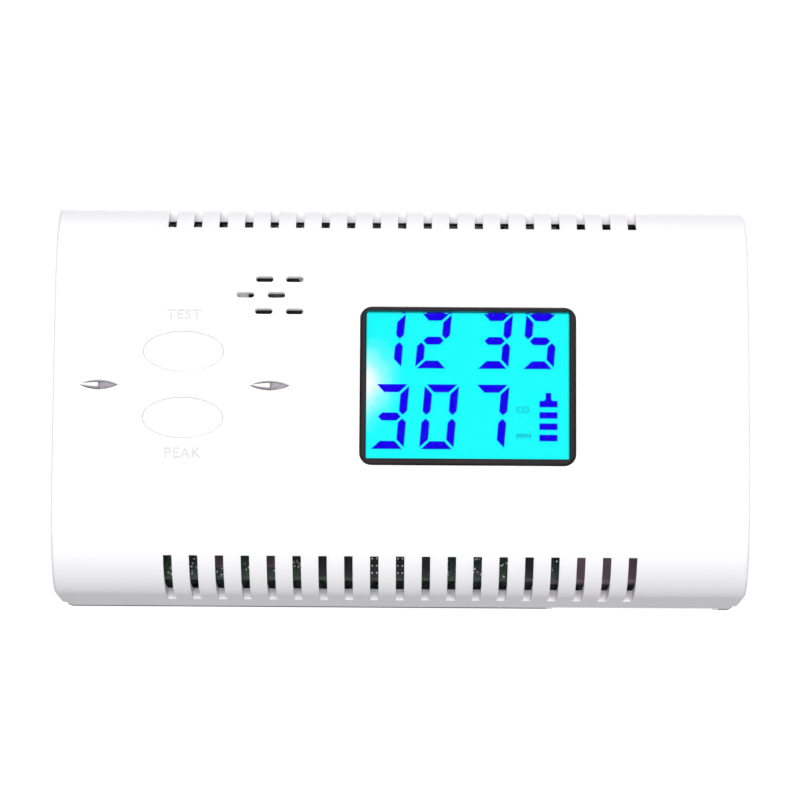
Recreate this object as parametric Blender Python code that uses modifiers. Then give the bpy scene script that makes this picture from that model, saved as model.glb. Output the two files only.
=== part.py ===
"""Carbon monoxide alarm: a wall-hung plastic case with a backlit display, two buttons, a sounder,
a gas cell on a circuit board, and two AA cells behind a sliding door.

Metres, +Z up. The origin is the centre of the flat back face and +Y points into the wall, so the
front faces -Y and +X is to the right as a reader of the display sees it. A depth is measured from
the frontmost line of the case towards the wall.
"""

import math

import bmesh
import bpy
from mathutils import Vector

MM = 0.001

# The case
WIDTH = 120 * MM
HEIGHT = 68 * MM
DEPTH = 38 * MM
WALL = 2 * MM
GAP = 0.3 * MM  # between pieces that touch
CROWN_ANGLE = 0.11  # where the shallow crown of the front turns into the rolled edge, in radians
ROLL_RADIUS = 15.5 * MM
SIDE_ROUND = 1.3 * MM
PARTING_DEPTH = 30 * MM  # where the rear housing starts
REAR_INSET = 0.4 * MM  # the rear housing is this much smaller all round
LIP_DEPTH = 27 * MM
LIP_WALL = 1.5 * MM
REAR_WALL = 2.6 * MM
PLATE_DEPTH = DEPTH - WALL  # inner face of the back plate

# Vent slots in the rolled edges
VENT_COUNT = 19
VENT_PITCH = 4.43 * MM
VENT_WIDTH = 1.4 * MM
VENT_START = 28.8 * MM  # height above or below the middle where every slot starts
TOP_VENT_DEPTH = 14.5 * MM
BOTTOM_VENT_DEPTH = 23.5 * MM

# The display, its centre at (DISPLAY_X, DISPLAY_Z)
DISPLAY_X = 11.35 * MM
DISPLAY_Z = 0.2 * MM
BEZEL_SIZE = (36.9 * MM, 27.1 * MM)
BEZEL_BAND = 1.2 * MM
BEZEL_ROUND = 2.0 * MM
WINDOW_DEPTHS = (1.0 * MM, 2.2 * MM)
LCD_SIZE = (39.4 * MM, 29.4 * MM)
LCD_DEPTHS = (3.9 * MM, 6.1 * MM)
HOLDER_SIZE = (44 * MM, 34 * MM)
HOLDER_EAR_Z = 19.3 * MM  # from the display's centre

# The board
BOARD_DEPTHS = (14.0 * MM, 15.6 * MM)
BOARD_LEFT = -56.8 * MM
BOARD_RIGHT = 34 * MM
BOARD_NOTCH_X = 28.5 * MM  # both right corners are cut away for the battery bay
BOARD_NOTCH_Z = 20.5 * MM
BOARD_HALF_HEIGHT = 31.4 * MM
BOARD_FRONT = BOARD_DEPTHS[0] - GAP  # what is soldered to the front ends here
BOARD_BACK = BOARD_DEPTHS[1] + GAP  # what is soldered to the back starts here

# Screw posts, clamping the board between the two housings
POSTS = [(x * MM, z * MM) for x in (-52, 20) for z in (-23, 23)]
FRONT_POST_RADIUS = 3 * MM
REAR_POST_RADIUS = 4 * MM
SCREW_SEAT_DEPTH = 20 * MM  # where each screw's head sits in its rear post
SCREW_RADIUS = 1.1 * MM
SCREW_HOLE_RADIUS = 1.5 * MM
SCREW_SEAT_RADIUS = 2.9 * MM

# Buttons and indicators
BUTTON_SIZE = (13.7 * MM, 7.0 * MM)
BUTTON_DEPTHS = (0.15 * MM, 3.8 * MM)
BUTTON_FLANGE = (2.4 * MM, 0.9 * MM)  # how much wider than its cap, and how thick
PLUNGER_FRONT = 4.1 * MM
PLUNGER_RADIUS = 1.6 * MM
PLUNGER_LENGTH = 5.6 * MM
SWITCH_FRONT = 9 * MM
BUTTONS = {"test": (-37.3 * MM, 6.1 * MM), "peak": (-37.3 * MM, -5.5 * MM)}
INDICATORS = {"alarm": (-51.9 * MM, 0.3 * MM), "power": (-22.5 * MM, 0.3 * MM)}
EYE_SIZE = (6.9 * MM, 1.7 * MM)
PIPE_OFFSET = -1.2 * MM  # each light pipe stands left of its eye's centre

# The sounder
SOUNDER = (-21.5 * MM, 16.2 * MM)
SOUNDER_RADIUS = 8.25 * MM
SOUNDER_DEPTH = 5.2 * MM
GRILLE = [
    (-23.6 * MM, 19.0 * MM),
    (-18.45 * MM, 19.0 * MM),
    (-26.87 * MM, 16.2 * MM),
    (-21.55 * MM, 16.2 * MM),
    (-23.7 * MM, 13.3 * MM),
    (-18.4 * MM, 13.3 * MM),
]
GRILLE_SLOT = (3.05 * MM, 1.0 * MM)

# The gas cell, behind the board by the bottom vents
GAS_CELL = (-22 * MM, -19 * MM)
GAS_CELL_RADIUS = 7.4 * MM
GAS_CELL_DEPTHS = (18.2 * MM, 32.2 * MM)
GAS_PIN_SPACING = 9.5 * MM

# The battery bay, two AA cells standing side by side on the right
BAY_X = (26.9 * MM, 56.2 * MM)
BAY_HALF_HEIGHT = 29.4 * MM
BAY_FRONT_DEPTH = 20.5 * MM
BAY_WALL = 1.5 * MM
CELL_RADIUS = 7.1 * MM
CELL_LENGTH = 50.5 * MM
CELL_DEPTH = 28 * MM
CELL_XS = (34.3 * MM, 48.8 * MM)
PLATE_THICK = 0.4 * MM
LEAD_RADIUS = 0.65 * MM
LEAD_HOLE_RADIUS = 1.1 * MM
LEAD_Z = 27.9 * MM
LEAD_XS = (29.2 * MM, 41.6 * MM)  # where the leads pass out of the bay, clear of the cells

# The battery door slides down out of an open bottom edge
DOOR_X = (27.5 * MM, 55.6 * MM)
DOOR_TOP = 27.5 * MM
DOOR_BOTTOM = -33.3 * MM
DOOR_TONGUE = 1.0 * MM
DOOR_DEPTHS = (36.2 * MM, 37.8 * MM)
DOOR_STEP = 36.8 * MM  # depth where the tongues end and the narrower outer face starts

# Two keyholes for wall screws
KEYHOLE_XS = (-42 * MM, 8 * MM)
KEYHOLE_Z = 17.5 * MM
KEYHOLE_RADIUS = 4.0 * MM
KEYHOLE_SLOT = 4.6 * MM
KEYHOLE_RISE = 7 * MM

FINISHES = {
    "white_plastic": ((0.86, 0.86, 0.87), 0.42, 0.0),
    "black_plastic": ((0.045, 0.035, 0.04), 0.35, 0.0),
    "clear_plastic": ((0.85, 0.9, 0.92), 0.08, 0.0),
    "lcd": ((0.01, 0.85, 0.9), 0.15, 0.0),
    "grey_plastic": ((0.35, 0.35, 0.36), 0.5, 0.0),
    "board": ((0.02, 0.13, 0.07), 0.4, 0.0),
    "rubber": ((0.12, 0.12, 0.13), 0.7, 0.0),
    "steel": ((0.6, 0.6, 0.62), 0.3, 1.0),
    "brass": ((0.75, 0.58, 0.25), 0.3, 1.0),
    "red": ((0.7, 0.03, 0.02), 0.4, 0.0),
    "green": ((0.05, 0.5, 0.1), 0.3, 0.0),
    "black": ((0.02, 0.02, 0.02), 0.45, 0.0),
    "copper": ((0.7, 0.35, 0.2), 0.35, 1.0),
    "cell_wrap": ((0.1, 0.12, 0.14), 0.35, 0.2),
}


def collection(name):
    made = bpy.data.collections.new(name)
    bpy.context.scene.collection.children.link(made)
    return made


def clear_scene():
    for obj in list(bpy.data.objects):
        bpy.data.objects.remove(obj, do_unlink=True)


def material(name, finish):
    """A Principled material for one part."""
    colour, roughness, metallic = FINISHES[finish]
    made = bpy.data.materials.new(name)
    made.use_nodes = True
    shader = made.node_tree.nodes["Principled BSDF"]
    shader.inputs["Base Color"].default_value = (*colour, 1)
    shader.inputs["Roughness"].default_value = roughness
    shader.inputs["Metallic"].default_value = metallic
    made.diffuse_color = (*colour, 1)
    return made


def part(obj, finish):
    """Puts an object among the parts, with its own material and smooth round faces."""
    parts.objects.link(obj)
    obj.data.materials.append(material(obj.name, finish))
    if obj.type == "MESH":
        obj.data.shade_smooth()
        obj.data.set_sharp_from_angle(angle=math.radians(35))
    return obj


def helper(obj):
    """Puts an object among the cutters, out of the model."""
    cutters.objects.link(obj)
    obj.hide_render = True
    obj.display_type = "WIRE"
    return obj


def at(x, z, depth=0.0):
    """The world place of a point x and z on the front, this deep in the case."""
    return Vector((x, depth - DEPTH, z))


# Outlines, as lists of points in a plane


def arc(centre, radius, start, end, steps):
    """Points on an arc, angles in degrees from the first axis."""
    points = []
    for i in range(steps + 1):
        angle = math.radians(start + (end - start) * i / steps)
        points.append((centre[0] + radius * math.cos(angle), centre[1] + radius * math.sin(angle)))
    return points


def ellipse(centre, size, steps=32):
    turns = [math.tau * i / steps for i in range(steps)]
    return [
        (centre[0] + size[0] / 2 * math.cos(t), centre[1] + size[1] / 2 * math.sin(t)) for t in turns
    ]


def circle(centre, radius, steps=16):
    return ellipse(centre, (2 * radius, 2 * radius), steps)


def rectangle(low, high):
    return [(low[0], low[1]), (high[0], low[1]), (high[0], high[1]), (low[0], high[1])]


def round_rectangle(centre, size, radius, steps=4):
    points = []
    for turn, (sx, sz) in enumerate(((1, 1), (-1, 1), (-1, -1), (1, -1))):
        corner = (
            centre[0] + sx * (size[0] / 2 - radius),
            centre[1] + sz * (size[1] / 2 - radius),
        )
        points += arc(corner, radius, 90 * turn, 90 * turn + 90, steps)
    return points


def stadium(centre, size, steps=6):
    """A slot lying along the first axis, with round ends."""
    radius = size[1] / 2
    reach = size[0] / 2 - radius
    right = arc((centre[0] + reach, centre[1]), radius, -90, 90, steps)
    left = arc((centre[0] - reach, centre[1]), radius, 90, 270, steps)
    return right + left


def eye(centre, size, left_share=1.0, steps=8):
    """A pointed lens from two arcs. left_share below 1 keeps only that share of its length."""
    half, rise = size[0] / 2, size[1] / 2
    radius = (half**2 + rise**2) / (2 * rise)
    tip = math.degrees(math.asin(half / radius))
    end = -half + size[0] * left_share
    cut = math.degrees(math.asin(end / radius))
    upper = arc((centre[0], centre[1] + rise - radius), radius, 90 - cut, 90 + tip, steps)
    lower = arc((centre[0], centre[1] - rise + radius), radius, 270 - tip, 270 + cut, steps)
    if left_share == 1.0:
        return upper[:-1] + lower[:-1]
    return upper[:-1] + lower


def keyhole(centre, radius, slot_width, rise, steps=6):
    """A round hole with a narrower round-ended slot above it."""
    half = slot_width / 2
    mouth = math.degrees(math.acos(half / radius))
    round_part = arc(centre, radius, 180 - mouth, 360 + mouth, 3 * steps)
    slot_end = arc((centre[0], centre[1] + rise), half, 0, 180, steps)
    return round_part + slot_end


# Solids


def outline_solid(name, outlines, thickness):
    """A mesh of one or more outlines, inner ones as holes, centred on its own XY plane."""
    curve = bpy.data.curves.new(name, "CURVE")
    curve.dimensions = "2D"
    curve.fill_mode = "BOTH"
    curve.extrude = thickness / 2
    for outline in outlines:
        spline = curve.splines.new("POLY")
        spline.points.add(len(outline) - 1)
        for point, (u, v) in zip(spline.points, outline):
            point.co = (u, v, 0, 1)
        spline.use_cyclic_u = True
    guide = bpy.data.objects.new(name, curve)
    bpy.context.scene.collection.objects.link(guide)
    graph = bpy.context.evaluated_depsgraph_get()
    mesh = bpy.data.meshes.new_from_object(guide.evaluated_get(graph))
    bpy.data.objects.remove(guide)
    weld(mesh)
    return bpy.data.objects.new(name, mesh)


def weld(mesh):
    edit = bmesh.new()
    edit.from_mesh(mesh)
    bmesh.ops.remove_doubles(edit, verts=edit.verts, dist=0.001 * MM)
    bmesh.ops.recalc_face_normals(edit, faces=edit.faces)
    edit.to_mesh(mesh)
    edit.free()


def front_solid(name, outlines, near, far):
    """Outlines drawn as seen from the front, as a solid from one depth to another."""
    obj = outline_solid(name, outlines, far - near)
    obj.rotation_euler = (math.radians(90), 0, 0)
    obj.location = at(0, 0, (near + far) / 2)
    return obj


def side_solid(name, outline, half_width):
    """An outline in depth and height, as a solid across the width."""
    obj = outline_solid(name, [outline], 2 * half_width)
    obj.rotation_euler = (math.radians(90), 0, math.radians(90))
    obj.location = at(0, 0)
    return obj


def block(name, x, z, depth):
    """A box from ranges in x, z and depth."""
    bounds = [x, (depth[0] - DEPTH, depth[1] - DEPTH), z]
    obj = bpy.data.objects.new(name, bpy.data.meshes.new(name))
    edit = bmesh.new()
    bmesh.ops.create_cube(edit, size=1)
    for vert in edit.verts:
        for axis, (low, high) in enumerate(bounds):
            vert.co[axis] = (vert.co[axis] * (high - low)) + (low + high) / 2
    edit.to_mesh(obj.data)
    edit.free()
    return obj


def turned(name, profile, place, toward_wall=True, steps=20):
    """A solid turned from (radius, height) points listed from its top down to its bottom."""
    edit = bmesh.new()
    verts = [edit.verts.new((radius, 0, height)) for radius, height in profile]
    for first, second in zip(verts, verts[1:]):
        edit.edges.new((first, second))
    mesh = bpy.data.meshes.new(name)
    edit.to_mesh(mesh)
    edit.free()
    obj = bpy.data.objects.new(name, mesh)
    screw = obj.modifiers.new("Screw", "SCREW")
    screw.steps = steps
    screw.render_steps = steps
    screw.use_merge_vertices = True
    screw.merge_threshold = 0.001 * MM
    obj.location = place
    if toward_wall:
        obj.rotation_euler = (math.radians(-90), 0, 0)
    return obj


def wire(name, points, radius, finish):
    """A round wire along a smooth curve through these points."""
    curve = bpy.data.curves.new(name, "CURVE")
    curve.dimensions = "3D"
    curve.bevel_depth = radius
    curve.bevel_resolution = 2
    curve.use_fill_caps = True
    spline = curve.splines.new("POLY")
    spline.points.add(len(points) - 1)
    for target, point in zip(spline.points, points):
        target.co = (*point, 1)
    return part(bpy.data.objects.new(name, curve), finish)


def smooth_route(points, steps=4):
    """A Catmull-Rom curve through points, with this many steps between each pair."""
    ends = [2 * points[0] - points[1], *points, 2 * points[-1] - points[-2]]
    route = []
    for before, start, end, after in zip(ends, ends[1:], ends[2:], ends[3:]):
        for i in range(steps):
            t = i / steps
            route.append(
                0.5
                * (
                    2 * start
                    + (end - before) * t
                    + (2 * before - 5 * start + 4 * end - after) * t**2
                    + (3 * start - before - 3 * end + after) * t**3
                )
            )
    return [*route, points[-1]]


def apply_boolean(obj, other, operation):
    modifier = obj.modifiers.new(f"{operation.title()} {other.name}", "BOOLEAN")
    modifier.operation = operation
    modifier.solver = "EXACT"
    modifier.object = helper(other)


def cut(obj, *others):
    for other in others:
        apply_boolean(obj, other, "DIFFERENCE")


def join(obj, *others):
    for other in others:
        apply_boolean(obj, other, "UNION")


# The case


def case_section(inset, back):
    """The case seen from its side, pulled in by inset: a crowned front, rolled edges and flats."""
    crown_radius = (HEIGHT / 2 - ROLL_RADIUS) / math.sin(CROWN_ANGLE) + ROLL_RADIUS
    reach = crown_radius - ROLL_RADIUS
    crown = math.degrees(CROWN_ANGLE)
    roll_centre = (
        crown_radius - reach * math.cos(CROWN_ANGLE),
        reach * math.sin(CROWN_ANGLE),
    )
    front = arc((crown_radius, 0), crown_radius - inset, 180 + crown, 180 - crown, 6)
    upper = arc(roll_centre, ROLL_RADIUS - inset, 180 - crown, 90, 8)
    lower = [(depth, -height) for depth, height in reversed(upper)]
    return [(back, inset - HEIGHT / 2)] + lower[:-1] + front + upper[1:] + [(back, HEIGHT / 2 - inset)]


def round_side_edges(obj):
    """Rounds every edge of the two end faces but those of the open back."""
    edit = bmesh.new()
    edit.from_mesh(obj.data)
    half = WIDTH / 2
    back = PARTING_DEPTH - GAP
    tiny = 0.01 * MM

    def on_end(edge):
        # The mesh's own axes are depth, height and width.
        flat = all(abs(abs(v.co.z) - half) < tiny for v in edge.verts)
        same_side = edge.verts[0].co.z * edge.verts[1].co.z > 0
        at_back = all(abs(v.co.x - back) < tiny for v in edge.verts)
        outline = len(edge.link_faces) == 2 and abs(edge.calc_face_angle(0)) > math.radians(45)
        return flat and same_side and outline and not at_back

    edges = [edge for edge in edit.edges if on_end(edge)]
    bmesh.ops.bevel(edit, geom=edges, offset=SIDE_ROUND, segments=3, profile=0.5, affect="EDGES")
    edit.to_mesh(obj.data)
    edit.free()


def vent_cutters():
    """One box for each slot: the bottom slots run further back than the top ones."""
    cuts = []
    for i in range(VENT_COUNT):
        x = (i - (VENT_COUNT - 1) / 2) * VENT_PITCH
        across = (x - VENT_WIDTH / 2, x + VENT_WIDTH / 2)
        above = (VENT_START, HEIGHT / 2 + WALL)
        below = (-HEIGHT / 2 - WALL, -VENT_START)
        cuts.append(block(f"top_vent_{i + 1}", across, above, (-WALL, TOP_VENT_DEPTH)))
        cuts.append(block(f"bottom_vent_{i + 1}", across, below, (-WALL, BOTTOM_VENT_DEPTH)))
    return cuts


def merged(name, objects):
    """One cutter from several that don't touch."""
    edit = bmesh.new()
    for obj in objects:
        first = len(edit.verts)
        edit.from_mesh(obj.data)
        edit.verts.ensure_lookup_table()
        bmesh.ops.transform(edit, matrix=obj.matrix_basis, verts=edit.verts[first:])
        bpy.data.objects.remove(obj)
    mesh = bpy.data.meshes.new(name)
    edit.to_mesh(mesh)
    edit.free()
    return bpy.data.objects.new(name, mesh)


def front_housing():
    """The crowned shell: an outer solid less a hollow that has the inner posts taken out of it."""
    back = PARTING_DEPTH - GAP
    shell = side_solid("front_housing", case_section(0, back), WIDTH / 2)
    round_side_edges(shell)
    hollow = side_solid("front_hollow", case_section(WALL, back + WALL), WIDTH / 2 - WALL)
    posts = [
        front_solid(f"front_post_{i}", [circle(post, FRONT_POST_RADIUS)], -WALL, BOARD_FRONT)
        for i, post in enumerate(POSTS)
    ]
    chimney = [circle(SOUNDER, 7 * MM, 24), circle(SOUNDER, 5 * MM, 24)]
    posts.append(front_solid("sounder_chimney", chimney, -WALL, 4.6 * MM))
    cut(hollow, merged("front_posts", posts))
    cut(shell, hollow)

    through = 4 * MM
    clearance = 2 * 0.15 * MM
    window = round_rectangle(
        (DISPLAY_X, DISPLAY_Z),
        (BEZEL_SIZE[0] + clearance, BEZEL_SIZE[1] + clearance),
        BEZEL_ROUND,
    )
    outlines = [window]
    button_hole = (BUTTON_SIZE[0] + 0.6 * MM, BUTTON_SIZE[1] + 0.6 * MM)
    outlines += [ellipse(centre, button_hole) for centre in BUTTONS.values()]
    outlines += [eye(centre, EYE_SIZE) for centre in INDICATORS.values()]
    outlines += [stadium(centre, GRILLE_SLOT) for centre in GRILLE]
    openings = [
        front_solid(f"front_opening_{i}", [outline], -WALL, through)
        for i, outline in enumerate(outlines)
    ]
    pilots = [
        front_solid(f"pilot_{i}", [circle(post, SCREW_RADIUS + 0.1 * MM, 12)], 7 * MM, 15 * MM)
        for i, post in enumerate(POSTS)
    ]
    cut(shell, merged("front_cuts", vent_cutters() + openings + pilots))
    part(shell, "white_plastic")


def rear_housing():
    """The tray at the back, with its lip, the battery bay, four screw posts and two keyholes."""
    size = (WIDTH - 2 * REAR_INSET, HEIGHT - 2 * REAR_INSET)
    inner = (size[0] - 2 * REAR_WALL, size[1] - 2 * REAR_WALL)
    middle = (0, 0)
    tray = front_solid(
        "rear_housing", [round_rectangle(middle, size, SIDE_ROUND)], PARTING_DEPTH, DEPTH
    )
    pocket = front_solid(
        "rear_pocket", [round_rectangle(middle, inner, SIDE_ROUND)], LIP_DEPTH, PLATE_DEPTH
    )
    cut(tray, pocket)

    lip_outer = (WIDTH - 2 * WALL - 2 * GAP, HEIGHT - 2 * WALL - 2 * GAP)
    lip_inner = (lip_outer[0] - 2 * LIP_WALL, lip_outer[1] - 2 * LIP_WALL)
    rings = [rectangle_about(middle, lip_outer), rectangle_about(middle, lip_inner)]
    join(tray, front_solid("rear_lip", rings, LIP_DEPTH, PLATE_DEPTH + 0.5 * MM))

    bay_x = (BAY_X[0] - BAY_WALL, BAY_X[1] + BAY_WALL)
    bay_z = (-BAY_HALF_HEIGHT - BAY_WALL, BAY_HALF_HEIGHT + BAY_WALL)
    bay_depth = (BAY_FRONT_DEPTH - BAY_WALL, PLATE_DEPTH + 0.5 * MM)
    join(tray, block("bay_walls", bay_x, bay_z, bay_depth))
    posts = [
        front_solid(
            f"rear_post_{i}", [circle(post, REAR_POST_RADIUS)], BOARD_BACK, PLATE_DEPTH + 0.5 * MM
        )
        for i, post in enumerate(POSTS)
    ]
    join(tray, merged("rear_posts", posts))

    bay_z = (-BAY_HALF_HEIGHT, BAY_HALF_HEIGHT)
    cut(tray, block("bay_hollow", BAY_X, bay_z, (BAY_FRONT_DEPTH, PLATE_DEPTH + 0.05 * MM)))
    groove_x = (DOOR_X[0] - DOOR_TONGUE - GAP, DOOR_X[1] + DOOR_TONGUE + GAP)
    groove_z = (-HEIGHT / 2 - WALL, DOOR_TOP + DOOR_TONGUE + GAP)
    cut(tray, block("door_groove", groove_x, groove_z, (DOOR_DEPTHS[0] - GAP, DOOR_STEP + GAP)))
    mouth_x = (DOOR_X[0] - GAP, DOOR_X[1] + GAP)
    mouth_z = (-HEIGHT / 2 - WALL, DOOR_TOP + GAP)
    cut(tray, block("door_mouth", mouth_x, mouth_z, (DOOR_STEP, DEPTH + WALL)))

    seats = [
        front_solid(f"screw_seat_{i}", [circle(post, SCREW_SEAT_RADIUS)], SCREW_SEAT_DEPTH, DEPTH + WALL)
        for i, post in enumerate(POSTS)
    ]
    cut(tray, merged("screw_seats", seats))
    drills = []
    for i, post in enumerate(POSTS):
        hole = [circle(post, SCREW_HOLE_RADIUS, 12)]
        drills.append(front_solid(f"screw_hole_{i}", hole, BOARD_FRONT, SCREW_SEAT_DEPTH + WALL))
    for i, x in enumerate(LEAD_XS):
        lead_hole = [circle((x, LEAD_Z), LEAD_HOLE_RADIUS, 12)]
        drills.append(
            front_solid(f"lead_hole_{i}", lead_hole, BAY_FRONT_DEPTH - 2 * WALL, BAY_FRONT_DEPTH + WALL)
        )
    for i, x in enumerate(KEYHOLE_XS):
        outline = keyhole((x, KEYHOLE_Z), KEYHOLE_RADIUS, KEYHOLE_SLOT, KEYHOLE_RISE)
        drills.append(front_solid(f"keyhole_{i}", [outline], PLATE_DEPTH - WALL, DEPTH + WALL))
    cut(tray, merged("rear_drills", drills))
    part(tray, "white_plastic")


def rectangle_about(centre, size):
    low = (centre[0] - size[0] / 2, centre[1] - size[1] / 2)
    high = (centre[0] + size[0] / 2, centre[1] + size[1] / 2)
    return rectangle(low, high)


def battery_door():
    """A flat door whose tongues run under the back plate on both sides and at the top."""
    tongue_x = (DOOR_X[0] - DOOR_TONGUE, DOOR_X[1] + DOOR_TONGUE)
    tongue_z = (DOOR_BOTTOM, DOOR_TOP + DOOR_TONGUE)
    door = block("battery_door", tongue_x, tongue_z, (DOOR_DEPTHS[0], DOOR_STEP))
    face = block("door_face", DOOR_X, (DOOR_BOTTOM, DOOR_TOP), (DOOR_STEP - 0.3 * MM, DOOR_DEPTHS[1]))
    join(door, face)
    middle = (DOOR_X[0] + DOOR_X[1]) / 2
    ribs = []
    for i in range(5):
        z = DOOR_BOTTOM + (5 + 2 * i) * MM
        across = (middle - 7 * MM, middle + 7 * MM)
        depth = (DOOR_DEPTHS[1] - 0.5 * MM, DOOR_DEPTHS[1] + WALL)
        ribs.append(block(f"grip_groove_{i}", across, (z, z + MM), depth))
    cut(door, merged("grip_grooves", ribs))
    part(door, "white_plastic")


def housing_screws():
    """Four screws driven from the back through the board into the front posts."""
    head, length = 1.8 * MM, 12 * MM
    profile = [
        (0, head),
        (1.6 * MM, head),
        (2.5 * MM, head - 0.6 * MM),
        (2.5 * MM, 0),
        (SCREW_RADIUS, 0),
        (SCREW_RADIUS, 1 * MM - length),
        (0, -length),
    ]
    for i, (x, z) in enumerate(POSTS):
        seat = at(x, z, SCREW_SEAT_DEPTH + GAP)
        part(turned(f"housing_screw_{i + 1}", profile, seat, steps=16), "steel")


# The display


def display_bezel():
    centre = (DISPLAY_X, DISPLAY_Z)
    inner = (BEZEL_SIZE[0] - 2 * BEZEL_BAND, BEZEL_SIZE[1] - 2 * BEZEL_BAND)
    frame = [round_rectangle(centre, BEZEL_SIZE, BEZEL_ROUND), rectangle_about(centre, inner)]
    bezel = front_solid("display_bezel", frame, 0, 3.6 * MM)
    flange = (BEZEL_SIZE[0] + 2.6 * MM, BEZEL_SIZE[1] + 2.6 * MM)
    rim = [rectangle_about(centre, flange), rectangle_about(centre, (inner[0] + MM, inner[1] + MM))]
    join(bezel, front_solid("bezel_flange", rim, 2.85 * MM, 3.6 * MM))
    part(bezel, "black_plastic")
    pane = (inner[0] - GAP, inner[1] - GAP)
    window = front_solid("display_window", [rectangle_about(centre, pane)], *WINDOW_DEPTHS)
    part(window, "clear_plastic")


def lcd():
    """The glass, its backlight, the frame that holds both on the board, and the zebra strip."""
    centre = (DISPLAY_X, DISPLAY_Z)
    glass = front_solid("lcd_glass", [rectangle_about(centre, LCD_SIZE)], *LCD_DEPTHS)
    part(glass, "lcd")
    light_x = (DISPLAY_X - LCD_SIZE[0] / 2, DISPLAY_X + LCD_SIZE[0] / 2)
    light_z = (DISPLAY_Z - LCD_SIZE[1] / 2 + 4 * MM, DISPLAY_Z + LCD_SIZE[1] / 2)
    light_depth = (LCD_DEPTHS[1] + GAP, 9 * MM)
    part(block("lcd_backlight", light_x, light_z, light_depth), "clear_plastic")
    strip_x = (DISPLAY_X - 16.5 * MM, DISPLAY_X + 16.5 * MM)
    strip_z = (light_z[0] - 3.2 * MM, light_z[0] - 0.8 * MM)
    strip_depth = (LCD_DEPTHS[1] + GAP, BOARD_FRONT)
    part(block("zebra_connector", strip_x, strip_z, strip_depth), "rubber")

    opening = (LCD_SIZE[0] + 2 * GAP, LCD_SIZE[1] + 2 * GAP)
    rings = [rectangle_about(centre, HOLDER_SIZE), rectangle_about(centre, opening)]
    holder = front_solid("lcd_holder", rings, LCD_DEPTHS[0], BOARD_FRONT)
    ledge_x = opening[0] / 2
    for side, sign in (("left", -1), ("right", 1)):
        ledge = (DISPLAY_X + sign * (ledge_x + 0.5 * MM), DISPLAY_X + sign * (ledge_x - 1.8 * MM))
        depth = (light_depth[1] + GAP, light_depth[1] + 1.5 * MM)
        reach = (DISPLAY_Z - LCD_SIZE[1] / 2, DISPLAY_Z + LCD_SIZE[1] / 2)
        join(holder, block(f"holder_ledge_{side}", sorted(ledge), reach, depth))
    for side, sign in (("lower", -1), ("upper", 1)):
        spot = (DISPLAY_X, DISPLAY_Z + sign * HOLDER_EAR_Z)
        ear_z = sorted((spot[1] + sign * 2.4 * MM, spot[1] - sign * 3 * MM))
        ear_x = (spot[0] - 2.6 * MM, spot[0] + 2.6 * MM)
        join(holder, block(f"holder_ear_{side}", ear_x, ear_z, (9 * MM, BOARD_FRONT)))
        pilot = front_solid(f"holder_pilot_{side}", [circle(spot, 0.9 * MM, 12)], 10 * MM, BOARD_BACK)
        cut(holder, pilot)
        holder_screw(1 if sign < 0 else 2, spot)
    part(holder, "black_plastic")


def holder_screw(number, spot):
    """A small screw from behind the board into one of the display holder's ears."""
    head, length, radius = 1.2 * MM, 5 * MM, 0.7 * MM
    pan = [(0, head), (1.5 * MM, head), (1.9 * MM, 0)]
    profile = pan + [(radius, 0), (radius, -length), (0, -length)]
    seat = at(*spot, BOARD_BACK)
    part(turned(f"lcd_holder_screw_{number}", profile, seat, steps=12), "steel")


# The controls


def button(name, centre):
    """An elliptical cap flush with the front, and a flange that keeps it in its hole."""
    front, back = BUTTON_DEPTHS
    wider, thick = BUTTON_FLANGE
    cap = front_solid(f"{name}_button", [ellipse(centre, BUTTON_SIZE)], front, back)
    flange_size = (BUTTON_SIZE[0] + wider, BUTTON_SIZE[1] + wider)
    flange = front_solid(f"{name}_flange", [ellipse(centre, flange_size)], back - thick, back)
    join(cap, flange)
    part(cap, "white_plastic")


def tact_switch(name, centre):
    """A tall tact switch: a square body on the board, and the plunger that the button pushes."""
    body_outlines = [rectangle_about(centre, (6 * MM, 6 * MM))]
    body = front_solid(f"{name}_switch_body", body_outlines, SWITCH_FRONT, BOARD_FRONT)
    bore = circle(centre, PLUNGER_RADIUS + GAP)
    cut(body, front_solid(f"{name}_switch_bore", [bore], SWITCH_FRONT - 1 * MM, SWITCH_FRONT + 3 * MM))
    part(body, "black")
    radius, length = PLUNGER_RADIUS, PLUNGER_LENGTH
    profile = [(0, 0), (radius, 0), (radius, -length), (0, -length)]
    rod = turned(f"{name}_switch_plunger", profile, at(*centre, PLUNGER_FRONT + length))
    part(rod, "grey_plastic")


def indicator(name, centre, colour):
    """A clear light pipe showing in an eye-shaped dimple, and the LED behind it."""
    size = (EYE_SIZE[0] - 0.3 * MM, EYE_SIZE[1] - 0.3 * MM)
    pipe = front_solid(f"{name}_light_pipe", [eye(centre, size)], 1.3 * MM, 2.9 * MM)
    lens = front_solid(f"{name}_lens", [eye(centre, size, left_share=0.5)], 0.15 * MM, 1.6 * MM)
    flange = front_solid(f"{name}_pipe_flange", [ellipse(centre, (9 * MM, 4 * MM))], 2.5 * MM, 3.5 * MM)
    spot = (centre[0] + PIPE_OFFSET, centre[1])
    stem = front_solid(f"{name}_pipe_stem", [circle(spot, 1.5 * MM)], 3.2 * MM, 8 * MM)
    join(pipe, lens, flange, stem)
    part(pipe, "clear_plastic")
    base = BOARD_FRONT
    dome = [(1.5 * MM * math.sin(t), 1.5 * MM * math.cos(t)) for t in (0, 0.4, 0.8, 1.2, math.pi / 2)]
    top = 3.6 * MM
    profile = [(r, top + h) for r, h in dome]
    profile += [(1.5 * MM, MM), (1.9 * MM, MM), (1.9 * MM, 0), (0, 0)]
    led = turned(f"{name}_led", profile, at(*spot, base), steps=16)
    led.rotation_euler = (math.radians(90), 0, 0)
    part(led, colour)


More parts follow.
